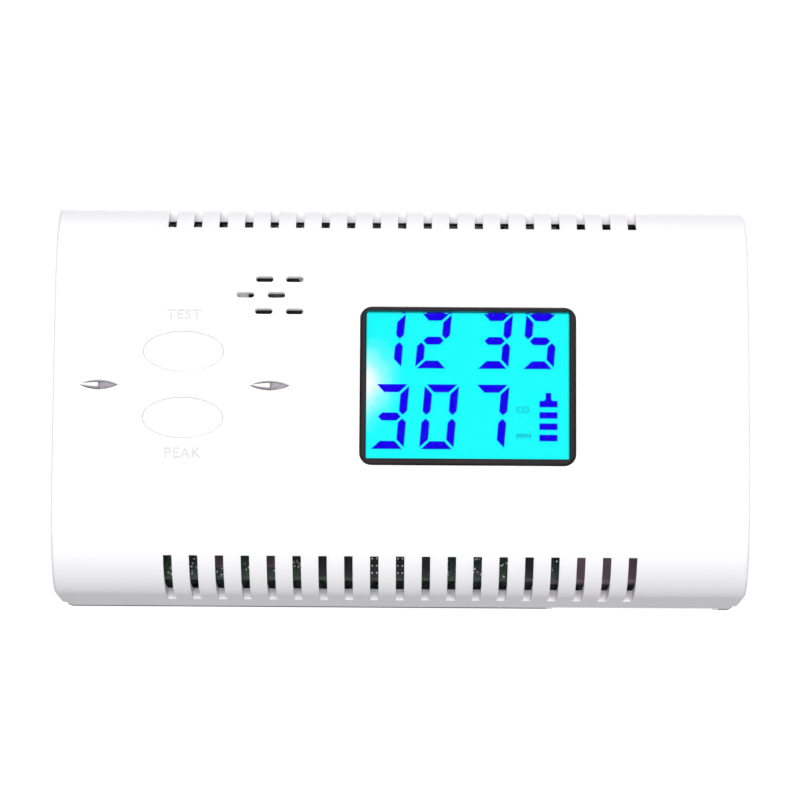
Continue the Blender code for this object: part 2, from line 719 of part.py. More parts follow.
def sounder():
    """A round case with a sound hole in front, and the piezo disc held inside it."""
    height = BOARD_FRONT - SOUNDER_DEPTH
    wall = MM
    profile = [
        (2 * MM, height - wall),
        (2 * MM, height),
        (SOUNDER_RADIUS - 0.6 * MM, height),
        (SOUNDER_RADIUS, height - 0.6 * MM),
        (SOUNDER_RADIUS, 0),
        (SOUNDER_RADIUS - wall, 0),
        (SOUNDER_RADIUS - wall, height - wall),
        (2 * MM, height - wall),
    ]
    case = turned("buzzer_case", profile, at(*SOUNDER, BOARD_FRONT), steps=32)
    case.rotation_euler = (math.radians(90), 0, 0)
    part(case, "black")
    radius = SOUNDER_RADIUS - wall - GAP
    disc = front_solid("buzzer_disc", [circle(SOUNDER, radius, 32)], 9 * MM, 9.5 * MM)
    part(disc, "brass")


# The board and what is soldered to it


def board():
    outline = [
        (BOARD_LEFT, -BOARD_HALF_HEIGHT),
        (BOARD_NOTCH_X, -BOARD_HALF_HEIGHT),
        (BOARD_NOTCH_X, -BOARD_NOTCH_Z),
        (BOARD_RIGHT, -BOARD_NOTCH_Z),
        (BOARD_RIGHT, BOARD_NOTCH_Z),
        (BOARD_NOTCH_X, BOARD_NOTCH_Z),
        (BOARD_NOTCH_X, BOARD_HALF_HEIGHT),
        (BOARD_LEFT, BOARD_HALF_HEIGHT),
    ]
    holes = [circle(post, 1.5 * MM, 12) for post in POSTS]
    holes += [circle((DISPLAY_X, DISPLAY_Z + sign * HOLDER_EAR_Z), MM, 12) for sign in (-1, 1)]
    holes += [circle(spot, 0.9 * MM, 12) for spot in gas_pins()]
    part(front_solid("main_pcb", [outline, *holes], *BOARD_DEPTHS), "board")


def gas_pins():
    x, z = GAS_CELL
    return [(x - GAS_PIN_SPACING / 2, z), (x + GAS_PIN_SPACING / 2, z)]


def gas_cell():
    """The electrochemical cell: a can, its vented cap, and two pins through the board."""
    near, far = GAS_CELL_DEPTHS
    can = [
        (0, 0),
        (GAS_CELL_RADIUS - 0.5 * MM, 0),
        (GAS_CELL_RADIUS, -0.5 * MM),
        (GAS_CELL_RADIUS, near - far),
        (0, near - far),
    ]
    part(turned("co_sensor_can", can, at(*GAS_CELL, far), steps=28), "steel")
    cap_base = far + GAP
    cap = [
        (1.2 * MM, 2.4 * MM),
        (5.5 * MM, 2.4 * MM),
        (6 * MM, 1.9 * MM),
        (6 * MM, 0),
        (1.2 * MM, 0),
        (1.2 * MM, 2.4 * MM),
    ]
    part(turned("co_sensor_cap", cap, at(*GAS_CELL, cap_base), steps=24), "black_plastic")
    pin = [(0, 0), (0.5 * MM, 0), (0.5 * MM, -5 * MM), (0, -5 * MM)]
    for i, spot in enumerate(gas_pins()):
        place = at(*spot, near - GAP)
        part(turned(f"co_sensor_pin_{i + 1}", pin, place, steps=10), "brass")


def chip(name, centre, size, height):
    x = (centre[0] - size[0] / 2, centre[0] + size[0] / 2)
    z = (centre[1] - size[1] / 2, centre[1] + size[1] / 2)
    part(block(name, x, z, (BOARD_BACK, BOARD_BACK + height)), "black")


def board_parts():
    chip("microcontroller", (-38 * MM, 4 * MM), (9 * MM, 9 * MM), 1.4 * MM)
    chip("lcd_driver", (6 * MM, 2 * MM), (7.5 * MM, 12 * MM), 1.6 * MM)
    capacitor = [
        (0, 7.5 * MM),
        (2.7 * MM, 7.5 * MM),
        (3.15 * MM, 7.1 * MM),
        (3.15 * MM, 0),
        (0, 0),
    ]
    part(turned("capacitor", capacitor, at(4 * MM, -16 * MM, BOARD_BACK), steps=20), "black")
    inductor = [
        (0, 4.5 * MM),
        (3 * MM, 4.5 * MM),
        (3 * MM, 3.7 * MM),
        (2.3 * MM, 3.4 * MM),
        (2.3 * MM, 1.1 * MM),
        (3 * MM, 0.8 * MM),
        (3 * MM, 0),
        (0, 0),
    ]
    part(turned("inductor", inductor, at(-6 * MM, -24 * MM, BOARD_BACK), steps=20), "copper")
    crystal = [stadium((-38 * MM, -7 * MM), (10.5 * MM, 4 * MM))]
    part(front_solid("crystal", crystal, BOARD_BACK, BOARD_BACK + 3.5 * MM), "steel")


# The batteries


def battery(number, x, up):
    """An AA cell. Its nub touches a plate, and its flat end stands on a spring."""
    nub = 1 * MM
    body = CELL_LENGTH - nub
    profile = [
        (0, CELL_LENGTH),
        (2.7 * MM, CELL_LENGTH),
        (2.7 * MM, body),
        (CELL_RADIUS - 0.6 * MM, body),
        (CELL_RADIUS, body - 0.6 * MM),
        (CELL_RADIUS, 0.6 * MM),
        (CELL_RADIUS - 0.6 * MM, 0),
        (0, 0),
    ]
    tip = BAY_HALF_HEIGHT - PLATE_THICK - 2 * GAP
    sign = 1 if up else -1
    foot = at(x, sign * (tip - CELL_LENGTH), CELL_DEPTH)
    cell = turned(f"battery_{number}", profile, foot, toward_wall=False, steps=28)
    if not up:
        cell.rotation_euler = (math.radians(180), 0, 0)
    part(cell, "cell_wrap")
    return sign * (tip - CELL_LENGTH)


def contact_plate(name, x, z):
    """A thin plate across one end of the bay."""
    plate = block(name, x, (z, z + PLATE_THICK), (21.5 * MM, 34.5 * MM))
    part(plate, "steel")


def contact_spring(name, x, plate_z, cell_z):
    """A conical spring, wide on its plate and narrow on the cell's flat end."""
    wire_radius = 0.4 * MM
    turns, per_turn = 4, 11
    sign = 1 if cell_z > plate_z else -1
    start = plate_z + sign * (wire_radius + GAP)
    end = cell_z - sign * (wire_radius + GAP)
    points = []
    for i in range(turns * per_turn + 1):
        share = i / (turns * per_turn)
        angle = math.tau * turns * share
        radius = (5.2 - 2.4 * share) * MM
        centre = at(x, start + (end - start) * share, CELL_DEPTH)
        points.append(centre + Vector((radius * math.cos(angle), radius * math.sin(angle), 0)))
    wire(name, points, wire_radius, "steel")


def batteries():
    left, right = CELL_XS
    floor = -BAY_HALF_HEIGHT + GAP
    ceiling = BAY_HALF_HEIGHT - GAP - PLATE_THICK
    half = 6.2 * MM
    contact_plate("battery_bridge_plate", (left - half, right + half), floor)
    contact_plate("battery_positive_plate", (left - half, left + half), ceiling)
    contact_plate("battery_negative_plate", (right - half, right + half), ceiling)
    left_foot = battery(1, left, up=True)
    right_foot = battery(2, right, up=False)
    contact_spring("battery_spring_lower", left, floor + PLATE_THICK, left_foot)
    contact_spring("battery_spring_upper", right, ceiling, right_foot)
    lead("battery_lead_red", LEAD_XS[0], 29 * MM, 20 * MM, "red")
    lead("battery_lead_black", LEAD_XS[1], 24 * MM, 26 * MM, "black")


def lead(name, start_x, board_z, board_x, finish):
    """A lead from its plate, forward out of the bay and left to the back of the board."""
    run = (BOARD_BACK + BAY_FRONT_DEPTH - BAY_WALL) / 2
    route = [
        at(start_x, LEAD_Z, BAY_FRONT_DEPTH + 0.6 * MM),
        at(start_x, LEAD_Z, BAY_FRONT_DEPTH - BAY_WALL),
        at(start_x - 1.6 * MM, LEAD_Z, run),
        at(start_x - 5 * MM, (LEAD_Z + board_z) / 2, run),
        at((start_x + board_x) / 2, board_z, run),
        at(board_x + 2.4 * MM, board_z, run),
        at(board_x + 0.4 * MM, board_z, run - 0.5 * MM),
        at(board_x, board_z, BOARD_BACK),
    ]
    wire(name, smooth_route(route), LEAD_RADIUS, finish)


clear_scene()
parts = collection("carbon_monoxide_alarm")
cutters = collection("cutters")
front_housing()
rear_housing()
battery_door()
housing_screws()
display_bezel()
lcd()
for label, spot in BUTTONS.items():
    button(label, spot)
    tact_switch(label, spot)
indicator("alarm", INDICATORS["alarm"], "red")
indicator("power", INDICATORS["power"], "green")
sounder()
board()
gas_cell()
board_parts()
batteries()
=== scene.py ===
"""The looks of the carbon monoxide alarm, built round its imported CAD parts.

Metres, +Z up, in the CAD frame: the origin is the centre of the flat back face, +Y points into the
wall, and +X is to the right as a reader of the display sees it. A depth is measured from the
frontmost line of the case towards the wall. Sizes that the CAD also has carry the same names there,
and a few of them are tuned here to the look.
"""

import math
import random

import bmesh
import bpy
from mathutils import Matrix, Vector


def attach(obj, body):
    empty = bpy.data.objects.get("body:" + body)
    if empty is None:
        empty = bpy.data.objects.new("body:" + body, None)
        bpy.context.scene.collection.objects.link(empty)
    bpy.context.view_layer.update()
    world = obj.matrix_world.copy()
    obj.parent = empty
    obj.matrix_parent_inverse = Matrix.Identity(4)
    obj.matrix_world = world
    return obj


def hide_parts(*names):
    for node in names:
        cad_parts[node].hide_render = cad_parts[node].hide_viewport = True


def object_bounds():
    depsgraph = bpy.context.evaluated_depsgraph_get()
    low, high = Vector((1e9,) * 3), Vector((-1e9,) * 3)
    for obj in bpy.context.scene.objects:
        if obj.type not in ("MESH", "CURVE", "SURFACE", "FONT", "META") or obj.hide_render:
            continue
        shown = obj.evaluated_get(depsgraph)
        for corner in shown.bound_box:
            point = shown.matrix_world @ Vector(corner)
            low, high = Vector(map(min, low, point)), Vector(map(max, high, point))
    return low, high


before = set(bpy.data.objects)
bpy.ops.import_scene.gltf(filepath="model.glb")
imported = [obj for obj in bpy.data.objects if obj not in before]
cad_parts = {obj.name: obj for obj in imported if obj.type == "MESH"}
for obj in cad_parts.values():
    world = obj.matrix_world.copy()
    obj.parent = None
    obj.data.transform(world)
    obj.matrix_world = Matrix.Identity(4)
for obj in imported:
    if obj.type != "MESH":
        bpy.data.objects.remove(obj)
cad_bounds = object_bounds()

MM = 0.001
LOW, HIGH = cad_bounds
WIDTH = HIGH.x - LOW.x
HEIGHT = HIGH.z - LOW.z
DEPTH = HIGH.y - LOW.y
WALL = 2 * MM
GAP = 0.3 * MM

# The case
CROWN_ANGLE = 0.11
ROLL_RADIUS = 15.5 * MM
CROWN_RADIUS = (HEIGHT / 2 - ROLL_RADIUS) / math.sin(CROWN_ANGLE) + ROLL_RADIUS
ROLL_DEPTH = CROWN_RADIUS - (CROWN_RADIUS - ROLL_RADIUS) * math.cos(CROWN_ANGLE)
ROLL_HEIGHT = HEIGHT / 2 - ROLL_RADIUS
SIDE_ROUND = 0.7 * MM
SIDE_DRAFT = 0.4 * MM
PARTING_DEPTH = 30 * MM
REAR_INSET = 0.4 * MM
REAR_CORNER = 1.3 * MM
REAR_EDGE_DEPTH = 36.4 * MM
LIP_DEPTH = 27 * MM
LIP_WALL = 1.5 * MM
REAR_WALL = 2.6 * MM
PLATE_DEPTH = DEPTH - WALL

VENT_COUNT = 19
VENT_PITCH = 4.43 * MM
VENT_WIDTH = 1.4 * MM
TOP_VENT_START, BOTTOM_VENT_START = 28.85 * MM, 28.5 * MM
TOP_VENT_DEPTH = 11.8 * MM
BOTTOM_VENT_DEPTH = 23.5 * MM
VENT_ROUND = 0.16 * MM
VENT_UNDERCUT = 0.35
VENT_XS = [(i - (VENT_COUNT - 1) / 2) * VENT_PITCH for i in range(VENT_COUNT)]

# The display
DISPLAY = (11.35 * MM, 0.2 * MM)
BEZEL_X, BEZEL_Z = (-6.95 * MM, 29.77 * MM), (-13.07 * MM, 14.05 * MM)
BEZEL_BAND, BEZEL_TOP_BAND = 0.95 * MM, 0.6 * MM
BEZEL_ROUND = 1.9 * MM
BEZEL_RIM = 1.3 * MM  # how far the flange behind the front reaches out
WINDOW_DEPTHS = (1.0 * MM, 2.2 * MM)
WINDOW_ROUND = 0.25 * MM
GUIDE_DEPTHS = (6.4 * MM, 9.0 * MM)
LCD_SIZE = (39.4 * MM, 29.4 * MM)
HOLDER_SIZE = (44 * MM, 34 * MM)
HOLDER_EAR_Z = 19.3 * MM

# The board, and the posts that clamp it
BOARD_DEPTHS = (14.0 * MM, 15.6 * MM)
BOARD_LEFT, BOARD_RIGHT = -56.8 * MM, 34 * MM
BOARD_NOTCH = (28.5 * MM, 20.5 * MM)
BOARD_HALF_HEIGHT = 31.4 * MM
BOARD_FRONT = BOARD_DEPTHS[0] - GAP
BOARD_BACK = BOARD_DEPTHS[1] + GAP
POSTS = [(x * MM, z * MM) for x in (-52, 20) for z in (-23, 23)]
FRONT_POST_RADIUS, REAR_POST_RADIUS = 3 * MM, 4 * MM
SCREW_SEAT_DEPTH = 20 * MM
SCREW_SEAT_RADIUS, SCREW_HOLE_RADIUS = 2.9 * MM, 1.5 * MM

# Buttons, indicators and the sounder
BUTTON_SIZE = (13.72 * MM, 6.92 * MM)
BUTTON_HOLE = (13.8 * MM, 7.0 * MM)
BUTTON_FLANGE = (16.1 * MM, 9.4 * MM)
BUTTON_FLANGE_DEPTHS = (2.9 * MM, 3.8 * MM)
BUTTONS = {"test": (-37.35 * MM, 6.2 * MM), "peak": (-37.35 * MM, -5.3 * MM)}
INDICATORS = {"alarm": (-51.9 * MM, 0.3 * MM), "power": (-22.5 * MM, 0.3 * MM)}
EYE_SIZE = (6.9 * MM, 1.7 * MM)
PIPE_OFFSET = -1.2 * MM
PIPE_PLATE = (9 * MM, 4 * MM)
PIPE_PLATE_DEPTHS = (2.5 * MM, 3.5 * MM)
PIPE_END_DEPTH = 8 * MM
SWITCH_FRONT = 9 * MM
PLUNGER_FRONT, PLUNGER_RADIUS, PLUNGER_LENGTH = 4.1 * MM, 1.6 * MM, 5.6 * MM
SOUNDER = (-21.5 * MM, 16.2 * MM)
SOUNDER_RADIUS = 8.25 * MM
SOUNDER_FRONT = 5.2 * MM
DISC_DEPTH = 9.2 * MM
GRILLE = [(-23.6, 19.0), (-18.45, 19.0), (-26.87, 16.2), (-21.55, 16.2), (-23.7, 13.3), (-18.4, 13.3)]
GRILLE_SLOT = (3.05 * MM, 1.0 * MM)

# The gas cell and the batteries
GAS_CELL = (-22 * MM, -19 * MM)
GAS_CELL_DEPTHS = (18.2 * MM, 32.2 * MM)
GAS_PIN_SPACING = 9.5 * MM
GAS_PINS = [(GAS_CELL[0] + side * GAS_PIN_SPACING / 2, GAS_CELL[1]) for side in (-1, 1)]
GAS_PIN_LENGTH = 5 * MM
BAY_X = (26.9 * MM, 56.2 * MM)
BAY_HALF_HEIGHT = 29.4 * MM
BAY_FRONT_DEPTH = 20.5 * MM
BAY_WALL = 1.5 * MM
CELL_RADIUS = 7.1 * MM
CELL_LENGTH = 50.5 * MM
CELL_DEPTH = 28 * MM
CELL_XS = (34.3 * MM, 48.8 * MM)
PLATE_THICK = 0.4 * MM
LEAD_Z = 27.9 * MM
LEAD_XS = (29.2 * MM, 41.6 * MM)
LEAD_RADIUS, LEAD_HOLE_RADIUS = 0.65 * MM, 1.1 * MM

# The battery door and the keyholes
DOOR_X = (27.5 * MM, 55.6 * MM)
DOOR_TOP, DOOR_BOTTOM = 27.5 * MM, -33.3 * MM
DOOR_TONGUE = 1.0 * MM
DOOR_DEPTHS = (36.2 * MM, 37.8 * MM)
DOOR_STEP = 36.8 * MM
KEYHOLES = [(-42 * MM, 17.5 * MM), (8 * MM, 17.5 * MM)]
KEYHOLE_RADIUS = 4.0 * MM
KEYHOLE_SLOT = 4.6 * MM
KEYHOLE_RISE = 7 * MM


TO_FRONT = (0, -1, 0)


def at(x, z, depth=0.0):
    """The place of a point x and z on the front, this deep in the case."""
    return Vector((x, depth - DEPTH, z))


def mm(*points):
    """Points of two numbers each, given in millimetres."""
    return [(first * MM, second * MM) for first, second in points]


def span(middle, size):
    return (middle - size / 2, middle + size / 2)


# Outlines: lists of points in a plane, counterclockwise


def arc(centre, radius, start, end, steps):
    """Points on an arc, angles in degrees from the first axis."""
    turns = [math.radians(start + (end - start) * i / steps) for i in range(steps + 1)]
    return [(centre[0] + radius * math.cos(t), centre[1] + radius * math.sin(t)) for t in turns]


def ellipse(centre, size, steps=72):
    (x, z), (width, height) = centre, size
    turns = [math.tau * i / steps for i in range(steps)]
    return [(x + width / 2 * math.cos(t), z + height / 2 * math.sin(t)) for t in turns]


def circle(centre, radius, steps=32):
    return ellipse(centre, (2 * radius, 2 * radius), steps)


def rounded_box(centre, size, radius, steps=6):
    points = []
    for turn, (sx, sz) in enumerate(((1, 1), (-1, 1), (-1, -1), (1, -1))):
        corner = (centre[0] + sx * (size[0] / 2 - radius), centre[1] + sz * (size[1] / 2 - radius))
        points += arc(corner, radius, 90 * turn, 90 * turn + 90, steps)
    return points


def rounded_range(x, z, radius, steps=6):
    """A rounded rectangle from its ranges in x and z."""
    centre = ((x[0] + x[1]) / 2, (z[0] + z[1]) / 2)
    return rounded_box(centre, (x[1] - x[0], z[1] - z[0]), radius, steps)


def stadium(centre, size, steps=10):
    radius = size[1] / 2
    reach = size[0] / 2 - radius
    right = arc((centre[0] + reach, centre[1]), radius, -90, 90, steps)
    return right + arc((centre[0] - reach, centre[1]), radius, 90, 270, steps)


def eye(centre, size, steps=18):
    """A pointed lens from two arcs."""
    half, rise = size[0] / 2, size[1] / 2
    radius = (half**2 + rise**2) / (2 * rise)
    tip = math.degrees(math.asin(half / radius))
    upper = arc((centre[0], centre[1] + rise - radius), radius, 90 - tip, 90 + tip, steps)
    lower = arc((centre[0], centre[1] - rise + radius), radius, 270 - tip, 270 + tip, steps)
    return upper[:-1] + lower[:-1]


def keyhole(centre):
    half = KEYHOLE_SLOT / 2
    mouth = math.degrees(math.acos(half / KEYHOLE_RADIUS))
    round_part = arc(centre, KEYHOLE_RADIUS, 180 - mouth, 360 + mouth, 32)
    return round_part + arc((centre[0], centre[1] + KEYHOLE_RISE), half, 0, 180, 14)


def grown(outline, distance):
    """An outline pushed outwards, or inwards for a negative distance."""
    points = []
    for i, here in enumerate(outline):
        before = Vector(outline[i - 1])
        after = Vector(outline[(i + 1) % len(outline)])
        first = (Vector(here) - before).normalized()
        second = (after - Vector(here)).normalized()
        normal = Vector((first.y + second.y, -first.x - second.x)).normalized()
        mitre = max(normal.x * first.y - normal.y * first.x, 0.3)
        points.append(tuple(Vector(here) + normal * distance / mitre))
    return points


def divided(outline, step):
    """A closed outline with extra points on its long straight runs."""
    points = []
    for i, here in enumerate(outline):
        start, end = Vector(here), Vector(outline[(i + 1) % len(outline)])
        count = max(1, round((end - start).length / step))
        points += [tuple(start.lerp(end, k / count)) for k in range(count)]
    return points


def softened(points, radius, steps=4):
    """An open line with its inner corners rounded."""
    made = [points[0]]
    for before, here, after in zip(points, points[1:], points[2:]):
        corner = Vector(here)
        back, ahead = Vector(before) - corner, Vector(after) - corner
        reach = min(radius, back.length / 2.1, ahead.length / 2.1)
        start, end = corner + back.normalized() * reach, corner + ahead.normalized() * reach
        for i in range(steps + 1):
            t = i / steps
            made.append(tuple(start * (1 - t) ** 2 + corner * 2 * t * (1 - t) + end * t**2))
    return [*made, points[-1]]


def round_steps(radius, steps=3):
    """Steps round an edge as (inset, drop) pairs, from the flat face to the side."""
    turns = [math.pi / 2 * i / steps for i in range(steps + 1)]
    return [(radius * (1 - math.sin(t)), radius * (1 - math.cos(t))) for t in turns]


# Solids, added to a bmesh


def add_loft(edit, rings, closed=False):
    """Closed rings of equal length joined in turn. Unless closed, both ends are capped."""
    loops = [[edit.verts.new(point) for point in ring] for ring in rings]
    pairs = list(zip(loops, loops[1:]))
    if closed:
        pairs.append((loops[-1], loops[0]))
    else:
        edit.faces.new(loops[0])
        edit.faces.new(loops[-1])
    for first, second in pairs:
        for i in range(len(first)):
            j = (i + 1) % len(first)
            edit.faces.new((first[i], first[j], second[j], second[i]))


def add_levels(edit, levels, closed=False):
    """A loft through (outline, growth, depth) levels."""
    rings = [[at(x, z, depth) for x, z in grown(outline, by)] for outline, by, depth in levels]
    add_loft(edit, rings, closed)


def add_prism(edit, outline, near, far, edge=0.12 * MM, back_edge=None):
    """An outline as seen from the front, made solid between two depths, with rounded edges."""
    back_edge = edge if back_edge is None else back_edge
    levels = [(outline, -inset, near + drop) for inset, drop in round_steps(edge)]
    levels += [(outline, -inset, far - drop) for inset, drop in reversed(round_steps(back_edge))]
    add_levels(edit, levels)


def add_frame(edit, outer, inner, near, far, edge=0.12 * MM):
    """A ring between two outlines of equal length, with rounded edges."""
    front, back = round_steps(edge), list(reversed(round_steps(edge)))
    levels = [(outer, -inset, near + drop) for inset, drop in front]
    levels += [(outer, -inset, far - drop) for inset, drop in back]
    levels += [(inner, inset, far - drop) for inset, drop in reversed(back)]
    levels += [(inner, inset, near + drop) for inset, drop in reversed(front)]
    add_levels(edit, levels, closed=True)


def add_block(edit, x, z, depth, edge=0.1 * MM):
    add_prism(edit, rounded_range(x, z, max(edge, 0.02 * MM)), depth[0], depth[1], edge * 0.95)


def add_turned(edit, profile, place, axis=(0, 1, 0), steps=48):
    """A solid turned from (radius, height) points, heights along the axis from the place."""
    axis = Vector(axis)
    side = Vector((1, 0, 0))
    other = axis.cross(side)
    rows = []
    for radius, height in profile:
        middle = place + axis * height
        if radius < 0.001 * MM:
            rows.append([edit.verts.new(middle)])
            continue
        row = []
        for i in range(steps):
            turn = math.tau * i / steps
            spoke = side * math.cos(turn) + other * math.sin(turn)
            row.append(edit.verts.new(middle + radius * spoke))
        rows.append(row)
    for first, second in zip(rows, rows[1:]):
        for i in range(steps):
            j = (i + 1) % steps
            corners = [first[i % len(first)], first[j % len(first)]]
            corners += [second[j % len(second)], second[i % len(second)]]
            edit.faces.new(list(dict.fromkeys(corners)))
    if len(rows[0]) > 1:
        if profile[0] == profile[-1]:
            bmesh.ops.remove_doubles(edit, verts=rows[0] + rows[-1], dist=0.0005 * MM)
        else:
            edit.faces.new(rows[0])
            edit.faces.new(rows[-1])


def add_tube(edit, points, radius, sides=14):
    """A round wire along a line, with domed ends."""
    points = [Vector(p) for p in points]
    headings = []
    for i in range(len(points)):
        headings.append((points[min(i + 1, len(points) - 1)] - points[max(i - 1, 0)]).normalized())
    across = headings[0].orthogonal().normalized()
    rings = []
    for i, (point, heading) in enumerate(zip(points, headings)):
        across = (across - heading * across.dot(heading)).normalized()
        other = heading.cross(across)
        ring = []
        for k in range(sides):
            turn = math.tau * k / sides
            ring.append(across * math.cos(turn) + other * math.sin(turn))
        if i == 0:
            rings.append([point + radius * 0.6 * p for p in ring])
            point = point + heading * radius * 0.3
        if i == len(points) - 1:
            rings.append([point - heading * radius * 0.3 + radius * p for p in ring])
            rings.append([point + radius * 0.6 * p for p in ring])
        else:
            rings.append([point + radius * p for p in ring])
    add_loft(edit, rings)


def smooth_route(points, steps=8):
    """A Catmull-Rom curve through points."""
    ends = [2 * points[0] - points[1], *points, 2 * points[-1] - points[-2]]
    route = []
    for before, start, end, after in zip(ends, ends[1:], ends[2:], ends[3:]):
        for i in range(steps):
            t = i / steps
            bend = (end - before) * t + (2 * before - 5 * start + 4 * end - after) * t**2
            route.append(0.5 * (2 * start + bend + (3 * start - before - 3 * end + after) * t**3))
    return [*route, points[-1]]


# Objects


def make_object(name, edit):
    bmesh.ops.recalc_face_normals(edit, faces=edit.faces)
    mesh = bpy.data.meshes.new(name)
    edit.to_mesh(mesh)
    edit.free()
    obj = bpy.data.objects.new(name, mesh)
    bpy.context.scene.collection.objects.link(obj)
    return obj


def helper(build):
    """A solid to carve with, from a function that adds to a bmesh."""
    edit = bmesh.new()
    build(edit)
    return make_object("helper", edit)


def solid(add, *settings):
    """A solid to carve with, from one add_ call."""
    return helper(lambda edit: add(edit, *settings))


def carve(obj, *steps):
    """Applies Boolean steps (operation, other object) in order and removes the others."""
    for operation, other in steps:
        modifier = obj.modifiers.new(operation.title(), "BOOLEAN")
        modifier.operation = operation
        modifier.solver = "EXACT"
        modifier.object = other
    graph = bpy.context.evaluated_depsgraph_get()
    mesh = bpy.data.meshes.new_from_object(obj.evaluated_get(graph))
    obj.modifiers.clear()
    obj.data = mesh
    for _, other in steps:
        bpy.data.objects.remove(other)
    return obj


def shade(mesh, angle=38):
    mesh.shade_smooth()
    mesh.set_sharp_from_angle(angle=math.radians(angle))


def finish_piece(obj, slot, materials, *replaces, body="case", angle=38, weigh=True):
    """Shades a piece, gives it its materials, ties it to its body and hides the CAD nodes it replaces; its
    slot is not used.
    """
    if weigh:
        weighted = obj.modifiers.new("Flat faces stay flat", "WEIGHTED_NORMAL")
        weighted.keep_sharp = True
    obj.data.materials.clear()
    for material in materials if isinstance(materials, list) else [materials]:
        obj.data.materials.append(material)
    shade(obj.data, angle)
    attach(obj, body)
    if replaces:
        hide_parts(*replaces)
    return obj


def piece(name, build, slot, materials, *replaces, body="case"):
    """A piece from a function that adds its solids to a bmesh."""
    edit = bmesh.new()
    build(edit)
    return finish_piece(make_object(name, edit), slot, materials, *replaces, body=body)


def turned_piece(name, profile, place, slot, material, *replaces, axis=(0, 1, 0), steps=48, body="case"):
    def build(edit):
        add_turned(edit, profile, place, axis, steps)

    return piece(name, build, slot, material, *replaces, body=body)


# Materials


def node(tree, kind, inputs=None, **settings):
    made = tree.nodes.new(kind)
    for key, value in settings.items():
        setattr(made, key, value)
    for key, value in (inputs or {}).items():
        if isinstance(value, bpy.types.NodeSocket):
            tree.links.new(value, made.inputs[key])
        else:
            made.inputs[key].default_value = value
    return made


def ramp(tree, factor, stops):
    """A colour ramp over a factor, from (position, colour) stops."""
    made = node(tree, "ShaderNodeValToRGB", {"Fac": factor})
    elements = made.color_ramp.elements
    while len(elements) < len(stops):
        elements.new(0.5)
    for element, (position, colour) in zip(elements, stops):
        element.position = position
        element.color = (*colour, 1)
    return made.outputs["Color"]


def remap(tree, value, low, high, start=0.3, end=0.7):
    inputs = {"Value": value, "From Min": start, "From Max": end, "To Min": low, "To Max": high}
    return node(tree, "ShaderNodeMapRange", inputs).outputs["Result"]


def noise(tree, scale, detail=3.0, stretch=(1, 1, 1)):
    """Noise in the piece's own coordinates, scale in features a metre."""
    place = node(tree, "ShaderNodeTexCoord").outputs["Object"]
    if stretch != (1, 1, 1):
        place = node(tree, "ShaderNodeMapping", {"Vector": place, "Scale": stretch}).outputs["Vector"]
    inputs = {"Vector": place, "Scale": scale, "Detail": detail, "Roughness": 0.55}
    return node(tree, "ShaderNodeTexNoise", inputs).outputs["Fac"]


def empty_tree(owner):
    """The node tree of a new material or world, cleared."""
    owner.use_nodes = True
    owner.node_tree.nodes.clear()
    return owner.node_tree


def add_mix(tree, factor, first, second, output):
    """Two shaders mixed by a factor, as the tree's result."""
    mix = node(tree, "ShaderNodeMixShader", {"Fac": factor})
    tree.links.new(first, mix.inputs[1])
    tree.links.new(second, mix.inputs[2])
    tree.links.new(mix.outputs["Shader"], node(tree, output).inputs["Surface"])


def new_material(name):
    material = bpy.data.materials.new(name)
    tree = empty_tree(material)
    shader = node(tree, "ShaderNodeBsdfPrincipled")
    output = node(tree, "ShaderNodeOutputMaterial")
    tree.links.new(shader.outputs["BSDF"], output.inputs["Surface"])
    return material, tree, shader


def mottle(tree, colour, scale, detail, vary):
    """A colour that varies by a share either way."""
    stops = [(0.3, tinted(colour, 1 - vary)), (0.7, tinted(colour, 1 + vary))]
    return ramp(tree, noise(tree, scale, detail), stops)


def tinted(colour, factor):
    return tuple(min(1.0, c * factor) for c in colour)


def surface(
    name,
    colour,
    roughness,
    metallic=0.0,
    vary=0.04,
    vary_scale=90,
    rough_vary=0.08,
    grain=900,
    grain_height=0.01 * MM,
    stretch=(1, 1, 1),
    **sockets,
):
    """A Principled material with mottled colour, uneven gloss and a fine moulded or brushed grain."""
    material, tree, shader = new_material(name)
    fine = noise(tree, grain, 3.0, stretch)
    tree.links.new(mottle(tree, colour, vary_scale, 4.0, vary), shader.inputs["Base Color"])
    low, high = max(roughness - rough_vary, 0.02), roughness + rough_vary
    tree.links.new(remap(tree, fine, low, high), shader.inputs["Roughness"])
    bump = node(tree, "ShaderNodeBump", {"Height": fine, "Strength": 0.35, "Distance": grain_height})
    tree.links.new(bump.outputs["Normal"], shader.inputs["Normal"])
    shader.inputs["Metallic"].default_value = metallic
    for key, value in sockets.items():
        shader.inputs[key.replace("_", " ")].default_value = value
    return material


def clear_cover():
    """A thin clear sheet: see-through, with a faint gloss and fainter smears."""
    material = bpy.data.materials.new("clear_cover")
    tree = empty_tree(material)
    smear = noise(tree, 70, 5.0, (1, 1, 3))
    gloss = node(tree, "ShaderNodeBsdfGlossy", {"Roughness": remap(tree, smear, 0.03, 0.12)})
    see = node(tree, "ShaderNodeBsdfTransparent")
    edge = node(tree, "ShaderNodeFresnel", {"IOR": 1.07}).outputs["Fac"]
    add_mix(tree, edge, see.outputs["BSDF"], gloss.outputs["BSDF"], "ShaderNodeOutputMaterial")
    return material


def set_glowing(tree, shader, glow, base):
    """The colour comes from emission alone, over a dull dark base."""
    tree.links.new(glow, shader.inputs["Emission Color"])
    shader.inputs["Emission Strength"].default_value = 1.0
    shader.inputs["Base Color"].default_value = (*base, 1)
    shader.inputs["Specular IOR Level"].default_value = 0.0


